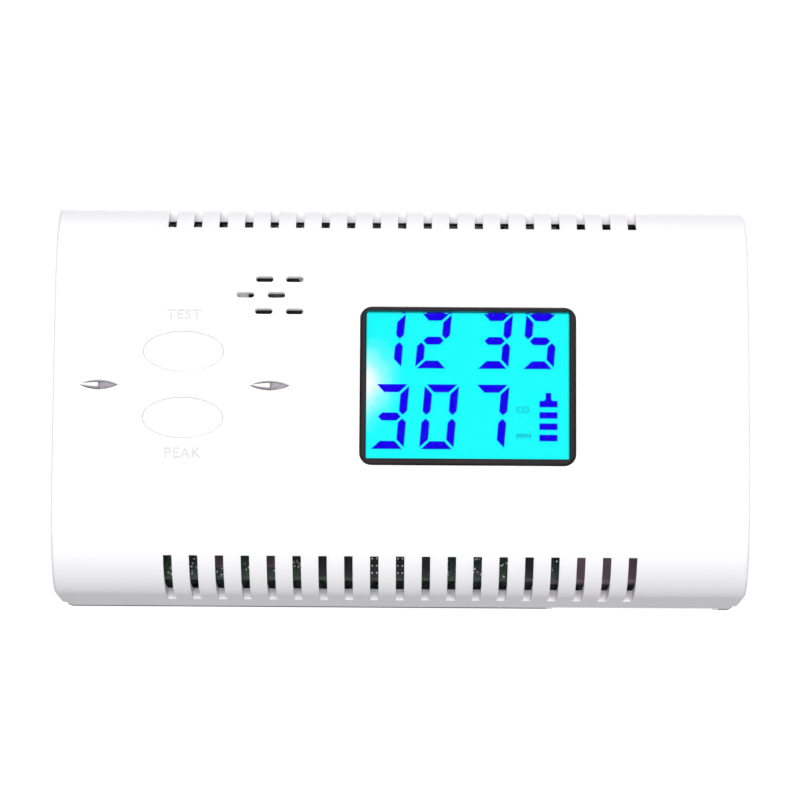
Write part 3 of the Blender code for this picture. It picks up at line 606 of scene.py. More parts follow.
def lcd_glow():
    """The lit panel: cyan, whiter where the lamp enters at the left, with a faint unevenness."""
    material, tree, shader = new_material("lcd_glow")
    place = node(tree, "ShaderNodeTexCoord").outputs["Object"]
    squash = 0.78
    flat = node(tree, "ShaderNodeVectorMath", {0: place, 1: (1, 0, squash)}, operation="MULTIPLY")
    centre = (DISPLAY[0] - 18.2 * MM, 0, (DISPLAY[1] + 1.6 * MM) * squash)
    inputs = {0: flat.outputs["Vector"], 1: centre}
    away = node(tree, "ShaderNodeVectorMath", inputs, operation="DISTANCE").outputs["Value"]
    waver = remap(tree, noise(tree, 130, 4.0), -1.2 * MM, 1.2 * MM)
    away = node(tree, "ShaderNodeMath", {0: away, 1: waver}, operation="ADD").outputs["Value"]
    near = remap(tree, away, 0.0, 1.0, 0.4 * MM, 7.2 * MM)
    glare = [(0.0, (1.0, 1.0, 1.0)), (0.22, (0.85, 1.0, 1.0)), (0.5, (0.25, 0.98, 1.0))]
    glow = ramp(tree, near, [*glare, (0.75, (0.06, 0.95, 0.97)), (1.0, (0.01, 0.95, 0.97))])
    set_glowing(tree, shader, glow, (0.0, 0.02, 0.02))
    tree.links.new(remap(tree, noise(tree, 900), 0.3, 0.45), shader.inputs["Roughness"])
    return material


def lcd_ink(name, colour, vary):
    """A lit-through segment: its own colour glows, a little uneven."""
    material, tree, shader = new_material(name)
    set_glowing(tree, shader, mottle(tree, colour, 400, 3.0, vary), (0.0, 0.0, 0.01))
    return material


def striped(name, first, second, pitch, direction, roughness, soft=0.1):
    """Two colours in even bands along a direction, such as a zebra strip's."""
    material, tree, shader = new_material(name)
    place = node(tree, "ShaderNodeTexCoord").outputs["Object"]
    along = node(tree, "ShaderNodeVectorMath", {0: place, 1: direction}, operation="DOT_PRODUCT")
    inputs = {0: along.outputs["Value"], 1: math.tau / pitch}
    phase = node(tree, "ShaderNodeMath", inputs, operation="MULTIPLY").outputs["Value"]
    wave = node(tree, "ShaderNodeMath", {0: phase}, operation="SINE").outputs["Value"]
    band = remap(tree, wave, 0.0, 1.0, -soft, soft)
    tree.links.new(ramp(tree, band, [(0.0, first), (1.0, second)]), shader.inputs["Base Color"])
    tree.links.new(remap(tree, noise(tree, 1500), roughness, roughness + 0.15), shader.inputs["Roughness"])
    return material


def light_pipe_material():
    """Clear moulded plastic that carries a little haze."""
    material, tree, shader = new_material("light_pipe_clear")
    haze = noise(tree, 700, 4.0)
    stops = [(0.3, (0.95, 0.94, 0.96)), (0.7, (1.0, 0.99, 1.0))]
    tree.links.new(ramp(tree, haze, stops), shader.inputs["Base Color"])
    tree.links.new(remap(tree, haze, 0.04, 0.12), shader.inputs["Roughness"])
    shader.inputs["Transmission Weight"].default_value = 0.2
    shader.inputs["IOR"].default_value = 1.49
    return material


def cell_wrap():
    """A battery's printed film: black with a copper band at the positive end."""
    material, tree, shader = new_material("cell_wrap")
    place = node(tree, "ShaderNodeTexCoord").outputs["UV"]
    along = node(tree, "ShaderNodeSeparateXYZ", {"Vector": place}).outputs["Y"]
    stops = [(0.0, (0.03, 0.032, 0.036)), (0.735, (0.03, 0.032, 0.036)), (0.74, (0.62, 0.27, 0.1))]
    tree.links.new(ramp(tree, along, stops), shader.inputs["Base Color"])
    tree.links.new(remap(tree, noise(tree, 300), 0.22, 0.34), shader.inputs["Roughness"])
    shader.inputs["Metallic"].default_value = 0.35
    return material


# White mouldings go towards mauve in deep shade, as their colour takes a little green at each bounce.
WHITE = surface("white_moulding", (0.893, 0.884, 0.9), 0.42, vary=0.006, grain=2600, rough_vary=0.05)
WHITE_REAR = surface("white_rear", (0.85, 0.835, 0.85), 0.5, vary=0.01, grain=1800, rough_vary=0.06)
# Near-black band on the rear rim's last stretch: a painted shadow line along the back edge.
RIM_PAINTED_SHADOW = surface("rear_edge_painted_shadow", (0.032, 0.03, 0.032), 0.6, vary=0.12, vary_scale=300, grain=1500)
# Mottled dark green on the lip inside the case: painted shade, mottled like the board beside it.
LIP_SHADE = surface("lip_film", (0.1, 0.155, 0.135), 0.5, vary=0.9, vary_scale=1100, grain=1500)
# Mauve-brown on the battery bay's front walls: painted shade, the tone white plastic takes deep in the case.
BAY_SHADE = surface("bay_wall_painted_shade", (0.4, 0.28, 0.33), 0.6, vary=0.08, vary_scale=300, grain=1500)
WHITE_DOOR = surface("white_door", (0.86, 0.848, 0.862), 0.46, vary=0.01, grain=2000, rough_vary=0.06)
WHITE_BUTTON = surface("white_button", (0.893, 0.886, 0.9), 0.36, vary=0.006, grain=2600, rough_vary=0.04)
PRINT = surface("grey_print", (0.6, 0.585, 0.61), 0.6, vary=0.08, vary_scale=1500, grain=4000)
BEZEL = surface("bezel_black", (0.012, 0.008, 0.01), 0.42, vary=0.2, grain=1500, Specular_IOR_Level=0.16)
HOLDER = surface("holder_black", (0.03, 0.03, 0.032), 0.5, vary=0.1, grain=1200)
BLACK = surface("component_black", (0.022, 0.022, 0.024), 0.48, vary=0.15, grain=1600)
GREY = surface("plunger_grey", (0.3, 0.3, 0.31), 0.5, vary=0.06, grain=1500)
COVER = clear_cover()
GLOW = lcd_glow()
INK = lcd_ink("lcd_ink", (0.008, 0.0, 0.84), 0.06)
FAINT_INK = lcd_ink("lcd_faint_ink", (0.01, 0.34, 0.56), 0.1)
GLASS_EDGE = surface("lcd_border", (0.06, 0.1, 0.1), 0.12, vary=0.1, grain=600)
GUIDE = surface("light_guide", (0.82, 0.84, 0.86), 0.3, vary=0.05, grain=700, Transmission_Weight=0.3)
ZEBRA = striped("zebra_rubber", (0.015, 0.015, 0.015), (0.32, 0.3, 0.3), 0.5 * MM, (1, 0, 0), 0.7)
MASK = surface("solder_mask", (0.012, 0.05, 0.034), 0.32, vary=0.3, vary_scale=260, grain=1300)
TRACK = surface("masked_copper", (0.03, 0.1, 0.06), 0.3, vary=0.2, vary_scale=400, grain=1300)
# Bare laminate, its tone darkened as painted shade so the board's lit edge stays dark behind the slots.
LAMINATE = surface("laminate_edge_painted_shade", (0.1, 0.1, 0.05), 0.7, vary=0.15, vary_scale=900, grain=2500)
TIN = surface("solder", (0.55, 0.54, 0.53), 0.28, 1.0, vary=0.12, vary_scale=700, grain=1500)
# Pinkish strip on the board's top edge: painted shade, the tone of white plastic deep in the case, seen
# through the top slots.
PINK_PAINTED_SHADE = surface("tinned_strip", (0.42, 0.31, 0.34), 0.45, 0.5, vary=0.35, vary_scale=900, grain=1500)
BROWN = surface("brown_part", (0.12, 0.065, 0.085), 0.4, vary=0.15, vary_scale=500, grain=1500)
PIPE = light_pipe_material()
# Grey-mauve for the light pipe's scoop in its dimple: painted shade of the recess.
PIPE_SCOOP_SHADE = surface("pipe_frost", (0.4, 0.37, 0.41), 0.3, vary=0.25, vary_scale=900, grain=900)
RED_LED = surface("led_red", (0.72, 0.02, 0.015), 0.12, vary=0.08, grain=800, Transmission_Weight=0.5)
GREEN_LED = surface("led_green", (0.03, 0.5, 0.1), 0.12, vary=0.08, grain=800, Transmission_Weight=0.5)
BRASS = surface("brass", (0.72, 0.52, 0.22), 0.26, 1.0, vary=0.1, grain=1400, stretch=(1, 1, 6))
CERAMIC = surface("piezo_ceramic", (0.78, 0.76, 0.7), 0.55, vary=0.05, grain=1700)
STEEL = surface("steel", (0.58, 0.57, 0.57), 0.3, 1.0, vary=0.08, grain=1500, stretch=(8, 1, 1))
CAN = surface("sensor_can", (0.62, 0.61, 0.6), 0.27, 1.0, vary=0.07, grain=1700, stretch=(1, 9, 1))
GOLD = surface("pin_gold", (0.86, 0.62, 0.25), 0.22, 1.0, vary=0.06, grain=1800)
SLEEVE = surface("capacitor_sleeve", (0.03, 0.035, 0.07), 0.3, vary=0.1, grain=900)
ENAMEL = striped("enamelled_copper", (0.42, 0.16, 0.06), (0.16, 0.05, 0.02), 0.28 * MM, (0, 1, 0), 0.25, 0.7)
FERRITE = surface("ferrite", (0.05, 0.048, 0.05), 0.6, vary=0.2, vary_scale=700, grain=2200)
WRAP = cell_wrap()
TERMINAL = surface("battery_terminal", (0.7, 0.69, 0.67), 0.25, 1.0, vary=0.06, grain=1600)
SPRING = surface("spring_steel", (0.66, 0.65, 0.64), 0.2, 1.0, vary=0.06, grain=1800)
RED_LEAD = surface("lead_red", (0.6, 0.025, 0.02), 0.38, vary=0.08, grain=1300)
BLACK_LEAD = surface("lead_black", (0.02, 0.02, 0.021), 0.4, vary=0.15, grain=1300)


# The case


def face_depth(z):
    """How deep the front surface lies at this height."""
    height = abs(z)
    if height <= CROWN_RADIUS * math.sin(CROWN_ANGLE):
        return CROWN_RADIUS - math.sqrt(CROWN_RADIUS**2 - height**2)
    return ROLL_DEPTH - math.sqrt(max(ROLL_RADIUS**2 - (height - ROLL_HEIGHT) ** 2, 0.0))


def case_section(inset, back, crown_steps=24, roll_steps=36):
    """The case from its side as (depth, height) points: crowned front, rolled edges and flats."""
    crown = math.degrees(CROWN_ANGLE)
    front = arc((CROWN_RADIUS, 0), CROWN_RADIUS - inset, 180 + crown, 180 - crown, crown_steps)
    roll_centre = (ROLL_DEPTH, ROLL_HEIGHT)
    upper = arc(roll_centre, ROLL_RADIUS - inset, 180 - crown, 90, roll_steps)
    lower = [(depth, -height) for depth, height in reversed(upper)]
    return [(back, inset - HEIGHT / 2)] + lower[:-1] + front + upper[1:] + [(back, HEIGHT / 2 - inset)]


def add_case(edit, inset, half_width, side_round, back):
    """A solid with the case's section, its two end faces rounded into the rest."""
    steps = 6 if side_round else 0
    stations = [(0.0, 0.0)]
    for i in range(1, steps + 1):
        turn = math.pi / 2 * i / steps
        stations.append((side_round * math.sin(turn), side_round * (1 - math.cos(turn))))
    right = [(half_width - side_round + out, inset + further) for out, further in stations]
    left = [(-x, further) for x, further in reversed(right)]
    rings = []
    for x, further in left + right:
        rings.append([at(x, height, depth) for depth, height in case_section(further, back)])
    add_loft(edit, rings)


def case_normal(x, depth, z):
    """The outward direction of the outer surface at a point of it, and how far off it the point is."""
    height = abs(z)
    sign = 1 if z >= 0 else -1
    beyond = max(abs(x) - (WIDTH / 2 - SIDE_ROUND), 0.0) / SIDE_ROUND
    turn = math.asin(min(beyond, 1.0))
    inset = SIDE_ROUND * (1 - math.cos(turn))
    if depth >= ROLL_DEPTH:
        out, off = Vector((0, 0, sign)), HEIGHT / 2 - height
    elif math.atan2(height, CROWN_RADIUS - depth) < CROWN_ANGLE:
        spoke = Vector((0, depth - CROWN_RADIUS, z))
        out, off = spoke.normalized(), CROWN_RADIUS - spoke.length
    else:
        spoke = Vector((0, depth - ROLL_DEPTH, (height - ROLL_HEIGHT) * sign))
        out, off = spoke.normalized(), ROLL_RADIUS - spoke.length
    side = Vector((1 if x > 0 else -1, 0, 0))
    return out * math.cos(turn) + side * math.sin(turn), off - inset


def polish_case(mesh):
    """Gives the outer surface its exact normals, so that slots and holes leave no ripple in it."""
    normals = []
    for polygon in mesh.polygons:
        for index in polygon.vertices:
            point = mesh.vertices[index].co
            out, off = case_normal(point.x, point.y + DEPTH, point.z)
            on_surface = abs(off) < 0.012 * MM and out.dot(polygon.normal) > 0.5
            normals.append(tuple(out) if on_surface else (0.0, 0.0, 0.0))
    for vertex in mesh.vertices:
        depth = vertex.co.y + DEPTH
        share = min(max(abs(vertex.co.x) * 10 / WIDTH - 4, 0.0), 1.0) * max(1 - depth / ROLL_DEPTH, 0.0)
        vertex.co.x -= math.copysign(SIDE_DRAFT * share, vertex.co.x)
    mesh.normals_split_custom_set(normals)


def lip_levels(radius, reach=0.1 * MM):
    """A cutter's (spread, depth) levels that leave a rounded lip, starting outside the surface."""
    first = round_steps(radius)[1]
    slope = first[1] / (radius - first[0])
    return [(radius + reach / slope, -reach)] + round_steps(radius)[1:]


def add_hole(edit, outline, radius, far):
    """A hole through the front along the depth, its lip rounded along the curved surface."""
    outline = divided(outline, 0.8 * MM)
    levels = lip_levels(radius)
    rings = [[at(x, z, -WALL) for x, z in grown(outline, levels[0][0])]]
    for spread, sink in levels:
        rings.append([at(x, z, face_depth(z) + sink) for x, z in grown(outline, spread)])
    rings.append([at(x, z, far) for x, z in outline])
    add_loft(edit, rings)


def vent_path(inset, start, end_depth, steps=16, flat_steps=6):
    """The slot's run over a rolled edge as (depth, height) points, this far under the surface."""
    radius = ROLL_RADIUS - inset
    first = math.asin((start - ROLL_HEIGHT) / radius)
    last = math.pi / 2
    if end_depth < ROLL_DEPTH:
        last = math.acos((ROLL_DEPTH - end_depth) / radius)
    turns = [first + (last - first) * i / steps for i in range(steps + 1)]
    points = [(ROLL_DEPTH - radius * math.cos(t), ROLL_HEIGHT + radius * math.sin(t)) for t in turns]
    if end_depth > ROLL_DEPTH:
        run = end_depth - ROLL_DEPTH
        points += [(ROLL_DEPTH + run * i / flat_steps, HEIGHT / 2 - inset) for i in range(1, flat_steps + 1)]
    return points


def add_vent(edit, x, sign, start_height, end_depth):
    """One slot's cutter, with a rounded lip all round."""
    strips = []
    for spread, sink in lip_levels(VENT_ROUND) + [(0.0, WALL * 1.4)]:
        start = start_height - spread * 0.75 - max(sink, 0.0) * VENT_UNDERCUT
        path = vent_path(sink, start, end_depth + spread)
        half = VENT_WIDTH / 2 + max(spread, sink * VENT_UNDERCUT * 0.25)
        ring = [at(x - half, sign * height, depth) for depth, height in path]
        ring += [at(x + half, sign * height, depth) for depth, height in reversed(path)]
        strips.append([edit.verts.new(point) for point in ring])
    count = len(strips[0])
    for first, second in zip(strips, strips[1:]):
        for i in range(count):
            j = (i + 1) % count
            edit.faces.new((first[i], first[j], second[j], second[i]))
    for strip in (strips[0], strips[-1]):
        for i in range(count // 2 - 1):
            j = count - 1 - i
            edit.faces.new((strip[i], strip[i + 1], strip[j - 1], strip[j]))


def front_shell():
    back = PARTING_DEPTH - GAP
    edit = bmesh.new()
    add_case(edit, 0, WIDTH / 2, SIDE_ROUND, back)
    shell = make_object("front_shell", edit)
    hollow = solid(add_case, WALL, WIDTH / 2 - WALL, 0, back + WALL)

    def posts(edit):
        for post in POSTS:
            add_prism(edit, circle(post, FRONT_POST_RADIUS), -WALL, BOARD_FRONT, 0.15 * MM)
        add_frame(edit, circle(SOUNDER, 7 * MM), circle(SOUNDER, 5 * MM), -WALL, 4.6 * MM, 0.15 * MM)

    carve(hollow, ("DIFFERENCE", helper(posts)))

    def holes(edit):
        through = 4 * MM
        window = grown(rounded_range(BEZEL_X, BEZEL_Z, BEZEL_ROUND, 10), 0.15 * MM)
        add_hole(edit, window, 0.16 * MM, through)
        for centre in BUTTONS.values():
            add_hole(edit, ellipse(centre, BUTTON_HOLE), 0.3 * MM, through)
        for centre in INDICATORS.values():
            add_hole(edit, eye(centre, EYE_SIZE), 0.14 * MM, through)
        for x, z in GRILLE:
            add_hole(edit, stadium((x * MM, z * MM), GRILLE_SLOT), 0.15 * MM, through)
        for post in POSTS:
            add_prism(edit, circle(post, 1.2 * MM), 7 * MM, 15 * MM, 0.05 * MM)

    def vents(edit):
        for x in VENT_XS:
            add_vent(edit, x, 1, TOP_VENT_START, TOP_VENT_DEPTH)
            add_vent(edit, x, -1, BOTTOM_VENT_START, BOTTOM_VENT_DEPTH)

    carve(shell, ("DIFFERENCE", hollow), ("DIFFERENCE", helper(holes)), ("DIFFERENCE", helper(vents)))
    finish_piece(shell, "housing_white", WHITE, "front_housing", weigh=False)
    polish_case(shell.data)


def front_print():
    """Two plain words under and over the buttons, laid on the curved front."""
    for name, z in (("test", 12.55 * MM), ("peak", -11.45 * MM)):
        place = (BUTTONS[name][0], z)
        words = lettering(f"print_{name}", name.upper(), 1.75 * MM, place, 0.0, 0.02 * MM, 1.12, 0.085 * MM)
        for vertex in words.data.vertices:
            vertex.co.y += face_depth(vertex.co.z) - 0.01 * MM
        finish_piece(words, "housing_white", PRINT)


def lettering(name, words, cap_height, centre, depth, thickness, spacing=1.0, weight=0.0):
    """Flat letters facing the front as a mesh."""
    curve = bpy.data.curves.new(name, "FONT")
    curve.body = words
    curve.align_x, curve.align_y = "CENTER", "CENTER"
    curve.size = cap_height / 0.7
    curve.space_character = spacing
    curve.extrude = thickness / 2
    curve.offset = weight
    guide = bpy.data.objects.new(name, curve)
    bpy.context.scene.collection.objects.link(guide)
    guide.matrix_world = Matrix.Translation(at(*centre, depth)) @ Matrix.Rotation(math.pi / 2, 4, "X")
    bpy.context.view_layer.update()
    graph = bpy.context.evaluated_depsgraph_get()
    mesh = bpy.data.meshes.new_from_object(guide.evaluated_get(graph))
    mesh.transform(guide.matrix_world)
    bpy.data.objects.remove(guide)
    edit = bmesh.new()
    edit.from_mesh(mesh)
    bmesh.ops.remove_doubles(edit, verts=edit.verts, dist=0.0005 * MM)
    return make_object(name, edit)


REAR_SIZE = (WIDTH - 2 * REAR_INSET, HEIGHT - 2 * REAR_INSET)
LIP_OUTER = (WIDTH - 2 * WALL - 2 * GAP, HEIGHT - 2 * WALL - 2 * GAP)
LIP_INNER = (LIP_OUTER[0] - 2 * LIP_WALL, LIP_OUTER[1] - 2 * LIP_WALL)
BAY_OUTER_X = (BAY_X[0] - BAY_WALL, BAY_X[1] + BAY_WALL)
FLARE = 0.25 * MM
REAR_FLARE = [(0.0, FLARE), (FLARE * 0.13, FLARE * 0.5), (FLARE * 0.5, FLARE * 0.13), (FLARE * 3, -0.2 * MM)]


def add_flared(edit, outline, near, flare=REAR_FLARE):
    """A cutter through the back face that leaves a rounded rim there."""
    rings = [[at(x, z, near) for x, z in outline]]
    rings += [[at(x, z, DEPTH - sink) for x, z in grown(outline, by)] for by, sink in flare]
    add_loft(edit, rings)


def rear_shell():
    """The tray at the back: lip, battery bay, posts, keyholes, and a shallow panel on the outside."""
    edit = bmesh.new()
    outline = rounded_box((0, 0), REAR_SIZE, REAR_CORNER, 8)
    levels = [(outline, -inset, PARTING_DEPTH + drop) for inset, drop in round_steps(0.25 * MM)]
    # The rings at REAR_EDGE_DEPTH bound the rim's painted shadow line.
    levels += [(outline, 0.2 * MM, REAR_EDGE_DEPTH), (outline, 0.2 * MM, REAR_EDGE_DEPTH + 0.05 * MM)]
    levels += [(outline, 0.25 * MM - inset, DEPTH - drop) for inset, drop in reversed(round_steps(0.6 * MM))]
    add_levels(edit, levels)
    tray = make_object("rear_shell", edit)
    sharp, deep = 0.02 * MM, PLATE_DEPTH + 0.5 * MM
    inner = (REAR_SIZE[0] - 2 * REAR_WALL, REAR_SIZE[1] - 2 * REAR_WALL)
    pocket = solid(add_prism, rounded_box((0, 0), inner, 1 * MM), LIP_DEPTH, PLATE_DEPTH, sharp)
    lip_rings = [rounded_box((0, 0), side, 0.5 * MM) for side in (LIP_OUTER, LIP_INNER)]
    lip = solid(add_frame, *lip_rings, LIP_DEPTH, deep, 0.15 * MM)
    bay_z = (-BAY_HALF_HEIGHT - BAY_WALL, BAY_HALF_HEIGHT + BAY_WALL)
    bay = solid(add_block, BAY_OUTER_X, bay_z, (BAY_FRONT_DEPTH - BAY_WALL, deep), 0.5 * MM)

    def posts(edit):
        for post in POSTS:
            add_prism(edit, circle(post, REAR_POST_RADIUS), BOARD_BACK, deep, 0.2 * MM)

    bay_inside = (-BAY_HALF_HEIGHT, BAY_HALF_HEIGHT)
    hollows = solid(add_block, BAY_X, bay_inside, (BAY_FRONT_DEPTH, PLATE_DEPTH + 0.05 * MM), sharp)
    groove_x = (DOOR_X[0] - DOOR_TONGUE - GAP, DOOR_X[1] + DOOR_TONGUE + GAP)
    groove_z = (-HEIGHT / 2 - WALL, DOOR_TOP + DOOR_TONGUE + GAP)
    groove = solid(add_block, groove_x, groove_z, (DOOR_DEPTHS[0] - GAP, DOOR_STEP + GAP), sharp)
    mouth_x, mouth_z = (DOOR_X[0] - GAP, DOOR_X[1] + GAP), (-HEIGHT / 2 - WALL, DOOR_TOP + GAP)
    mouth = solid(add_flared, rounded_range(mouth_x, mouth_z, 0.6 * MM), DOOR_STEP)

    def through(edit):
        for post in POSTS:
            add_flared(edit, circle(post, SCREW_SEAT_RADIUS), SCREW_SEAT_DEPTH)
        for centre in KEYHOLES:
            add_flared(edit, keyhole(centre), PLATE_DEPTH - WALL)
        panel = rounded_range((-42 * MM, 10 * MM), (-24 * MM, 6 * MM), 1.5 * MM)
        add_flared(edit, panel, DEPTH - 0.3 * MM, REAR_FLARE[1:])

    def drills(edit):
        for post in POSTS:
            hole = circle(post, SCREW_HOLE_RADIUS)
            add_prism(edit, hole, BOARD_FRONT, SCREW_SEAT_DEPTH + WALL, sharp)
        for x in LEAD_XS:
            hole = circle((x, LEAD_Z), LEAD_HOLE_RADIUS)
            add_prism(edit, hole, BAY_FRONT_DEPTH - 2 * WALL, BAY_FRONT_DEPTH + WALL, sharp)

    steps = [("DIFFERENCE", pocket), ("UNION", lip), ("UNION", bay), ("UNION", helper(posts))]
    cuts = (hollows, groove, mouth, helper(through), helper(drills))
    carve(tray, *steps, *[("DIFFERENCE", cut) for cut in cuts])
    materials = [WHITE_REAR, RIM_PAINTED_SHADOW, BAY_SHADE, LIP_SHADE]
    finish_piece(tray, "rear_white", materials, "rear_housing", angle=30)
    for polygon in tray.data.polygons:
        polygon.material_index = rear_material(polygon.center, abs(polygon.normal.y) < 0.5)


def rear_material(place, outward):
    """Which of the tray's materials a face has: white, the rim's painted shadow line, the bay's painted
    shade or the lip's mottled painted shade.
    """
    slack = 0.1 * MM
    x, z, depth = abs(place.x), abs(place.z), place.y + DEPTH
    before_rim = x < LIP_OUTER[0] / 2 + slack and depth < PARTING_DEPTH - slack
    past_inside = x > LIP_INNER[0] / 2 - slack or z > LIP_INNER[1] / 2 - slack
    # The lip behind the slots takes its mottled painted shade.
    if before_rim and past_inside and depth > LIP_DEPTH - slack:
        return 3
    # The rim's last stretch takes the painted shadow line.
    on_rim = x > REAR_SIZE[0] / 2 - MM or z > REAR_SIZE[1] / 2 - MM
    if on_rim and outward and depth > REAR_EDGE_DEPTH:
        return 1
    # The bay's front walls take the mauve painted shade.
    if place.x > BAY_OUTER_X[0] - slack and BAY_FRONT_DEPTH - BAY_WALL - slack < depth < LIP_DEPTH:
        return 2
    return 0


def door_cover():
    """The sliding door with its tongues, finger grooves and an arrow for the way it slides."""
    edit = bmesh.new()
    tongue_x = (DOOR_X[0] - DOOR_TONGUE, DOOR_X[1] + DOOR_TONGUE)
    add_block(edit, tongue_x, (DOOR_BOTTOM, DOOR_TOP + DOOR_TONGUE), (DOOR_DEPTHS[0], DOOR_STEP), 0.12 * MM)
    door = make_object("door_cover", edit)
    face_outline = rounded_range(DOOR_X, (DOOR_BOTTOM, DOOR_TOP), 0.5 * MM)
    face = solid(add_prism, face_outline, DOOR_STEP - GAP, DOOR_DEPTHS[1], 0.02 * MM, 0.35 * MM)
    middle = (DOOR_X[0] + DOOR_X[1]) / 2
    sunk = DOOR_DEPTHS[1] - 0.5 * MM

    def grooves(edit):
        for i in range(5):
            z = DOOR_BOTTOM + (5.5 + 2 * i) * MM
            add_prism(edit, stadium((middle, z), (14 * MM, MM)), sunk, DEPTH + WALL, 0.3 * MM)
        tip, neck, tail, wing = -15 * MM, -11.2 * MM, -7.5 * MM, 3.6 * MM
        arrow = [(middle, tip), (middle + wing, neck), (middle + MM, neck), (middle + MM, tail)]
        arrow += [(middle - MM, tail), (middle - MM, neck), (middle - wing, neck)]
        add_loft(edit, [[at(x, z, depth) for x, z in arrow] for depth in (sunk - 0.4 * MM, DEPTH + WALL)])

    carve(door, ("UNION", face), ("DIFFERENCE", helper(grooves)))
    finish_piece(door, "door_white", WHITE_DOOR, "battery_door", body="battery_door")


# The display


def display_bezel():
    """The frame round the window, its flange behind the front, and the clear pane in it."""
    inner_x = (BEZEL_X[0] + BEZEL_BAND, BEZEL_X[1] - BEZEL_BAND)
    inner_z = (BEZEL_Z[0] + BEZEL_BAND, BEZEL_Z[1] - BEZEL_TOP_BAND)
    outer = rounded_range(BEZEL_X, BEZEL_Z, BEZEL_ROUND, 10)
    inner = rounded_range(inner_x, inner_z, WINDOW_ROUND, 10)
    deep = rounded_range(inner_x, (inner_z[0], inner_z[1] + 0.15 * MM), WINDOW_ROUND, 10)
    rim_x, rim_z = [(low - BEZEL_RIM, high + BEZEL_RIM) for low, high in (BEZEL_X, BEZEL_Z)]
    rim = rounded_range(rim_x, rim_z, 1 * MM, 10)

    def build(edit):
        levels = [(outer, -inset, drop) for inset, drop in round_steps(0.28 * MM, 5)]
        lines = [(outer, 0, 2.85), (rim, -0.05, 2.85), (rim, 0, 2.9), (rim, 0, 3.55), (rim, -0.05, 3.6)]
        lines += [(inner, 0.5, 3.6), (inner, 0.5, 3.4), (deep, 0, 3.35)]
        levels += [(line, by * MM, depth * MM) for line, by, depth in lines]
        levels += [(inner, inset, drop) for inset, drop in reversed(round_steps(0.22 * MM, 4))]
        add_levels(edit, levels, closed=True)

    piece("bezel_frame", build, "bezel_dark", BEZEL, "display_bezel")
    pane = grown(rounded_range(inner_x, inner_z, WINDOW_ROUND), -GAP / 2)
    clear = (pane, *WINDOW_DEPTHS, 0.1 * MM)
    piece("window_pane", lambda e: add_prism(e, *clear), "window_clear", COVER, "display_window")


DIGIT_SEGMENTS = {"0": "abcdef", "1": "bc", "2": "abged", "3": "abgcd", "5": "afgcd", "7": "abc"}
DIGIT_SLANT = 0.085
DIGIT_GAP = 0.3 * MM
LCD_INK_DEPTHS = (3.84 * MM, 3.88 * MM)


def segment(letter, width, height, thick):
    """One of a digit's seven segments, upright, from the digit's lower left corner."""
    gap, half, middle = DIGIT_GAP, thick / 2, height / 2
    if letter == "g":
        near, far = half + gap, width - half - gap
        upper = [(far, middle), (far - half, middle + half), (near + half, middle + half)]
        return upper + [(near, middle), (near + half, middle - half), (far - half, middle - half)]
    if letter in "ad":
        shape = [(gap, height), (gap + thick, height - thick), (width - gap - thick, height - thick)]
        shape.append((width - gap, height))
        flip_z, flip_x = letter == "d", False
    else:
        shape = [(width, height - gap), (width - thick, height - gap - thick)]
        shape += [(width - thick, middle + gap + half), (width - half, middle + gap)]
        shape.append((width, middle + gap + half))
        flip_z, flip_x = letter in "ce", letter in "ef"
    shape = [(width - x, z) for x, z in shape] if flip_x else shape
    shape = [(x, height - z) for x, z in shape] if flip_z else shape
    return shape


def add_ink(edit, shape, depths=LCD_INK_DEPTHS):
    """A thin flat patch, whichever way round its points run."""
    add_loft(edit, [[at(x, z, depth) for x, z in shape] for depth in depths])


def lcd_digits(edit):
    """Two rows of digits and the battery symbol, from the display's centre."""
    upper = [("1", -16.93), ("2", -9.0), ("3", 1.55), ("5", 9.35)]
    lower = [("3", -16.78), ("0", -8.23), ("7", 0.45)]
    for row, z, *sizes in ((upper, 3.86, 5.5, 9.72, 1.36), (lower, -10.18, 5.88, 11.26, 1.38)):
        for digit, x in row:
            left, base = DISPLAY[0] + x * MM, DISPLAY[1] + z * MM
            for letter in DIGIT_SEGMENTS[digit]:
                shape = segment(letter, *[size * MM for size in sizes])
                add_ink(edit, [(left + px + DIGIT_SLANT * pz, base + pz) for px, pz in shape])
    left, right = DISPLAY[0] + 12.42 * MM, DISPLAY[0] + 15.52 * MM
    for i in range(4):
        z = DISPLAY[1] + (-8.68 + 1.965 * i) * MM
        top = z + 1.12 * MM
        nub = []
        if i == 3:
            middle = (left + right) / 2
            edge = middle + 0.48 * MM
            nub = [(middle + 0.75 * MM, top), (edge, z + 1.4 * MM), (edge, z + 2.5 * MM)]
            nub += [(2 * middle - x, height) for x, height in reversed(nub)]
        add_ink(edit, [(left, z), (right, z), (right, top), *nub, (left, top)])


def display_panel():
    """The LCD: two glasses, the lit area, the digits and the two faint words."""
    x, z = span(DISPLAY[0], LCD_SIZE[0]), span(DISPLAY[1], LCD_SIZE[1])

    def glasses(edit):
        add_block(edit, x, (z[0] + 1.6 * MM, z[1]), (3.95 * MM, 4.95 * MM), 0.08 * MM)
        add_block(edit, x, z, (5.0 * MM, 6.05 * MM), 0.08 * MM)

    piece("lcd_glasses", glasses, "lcd_panel", GLASS_EDGE, "lcd_glass")
    lit = rounded_box(DISPLAY, (37.4 * MM, 27.6 * MM), 0.3 * MM)
    piece("lcd_lit_area", lambda e: add_ink(e, lit, (3.89 * MM, 3.94 * MM)), "lcd_panel", GLOW)
    piece("lcd_segments", lcd_digits, "lcd_panel", INK)
    depth = sum(LCD_INK_DEPTHS) / 2
    for name, text, height, x, z in (("unit", "PPM", 1.02, 9.75, -7.95), ("gas", "CO", 1.08, 9.55, -3.3)):
        centre = (DISPLAY[0] + x * MM, DISPLAY[1] + z * MM)
        words = lettering(f"lcd_{name}", text, height * MM, centre, depth, 0.04 * MM)
        finish_piece(words, "lcd_panel", FAINT_INK)


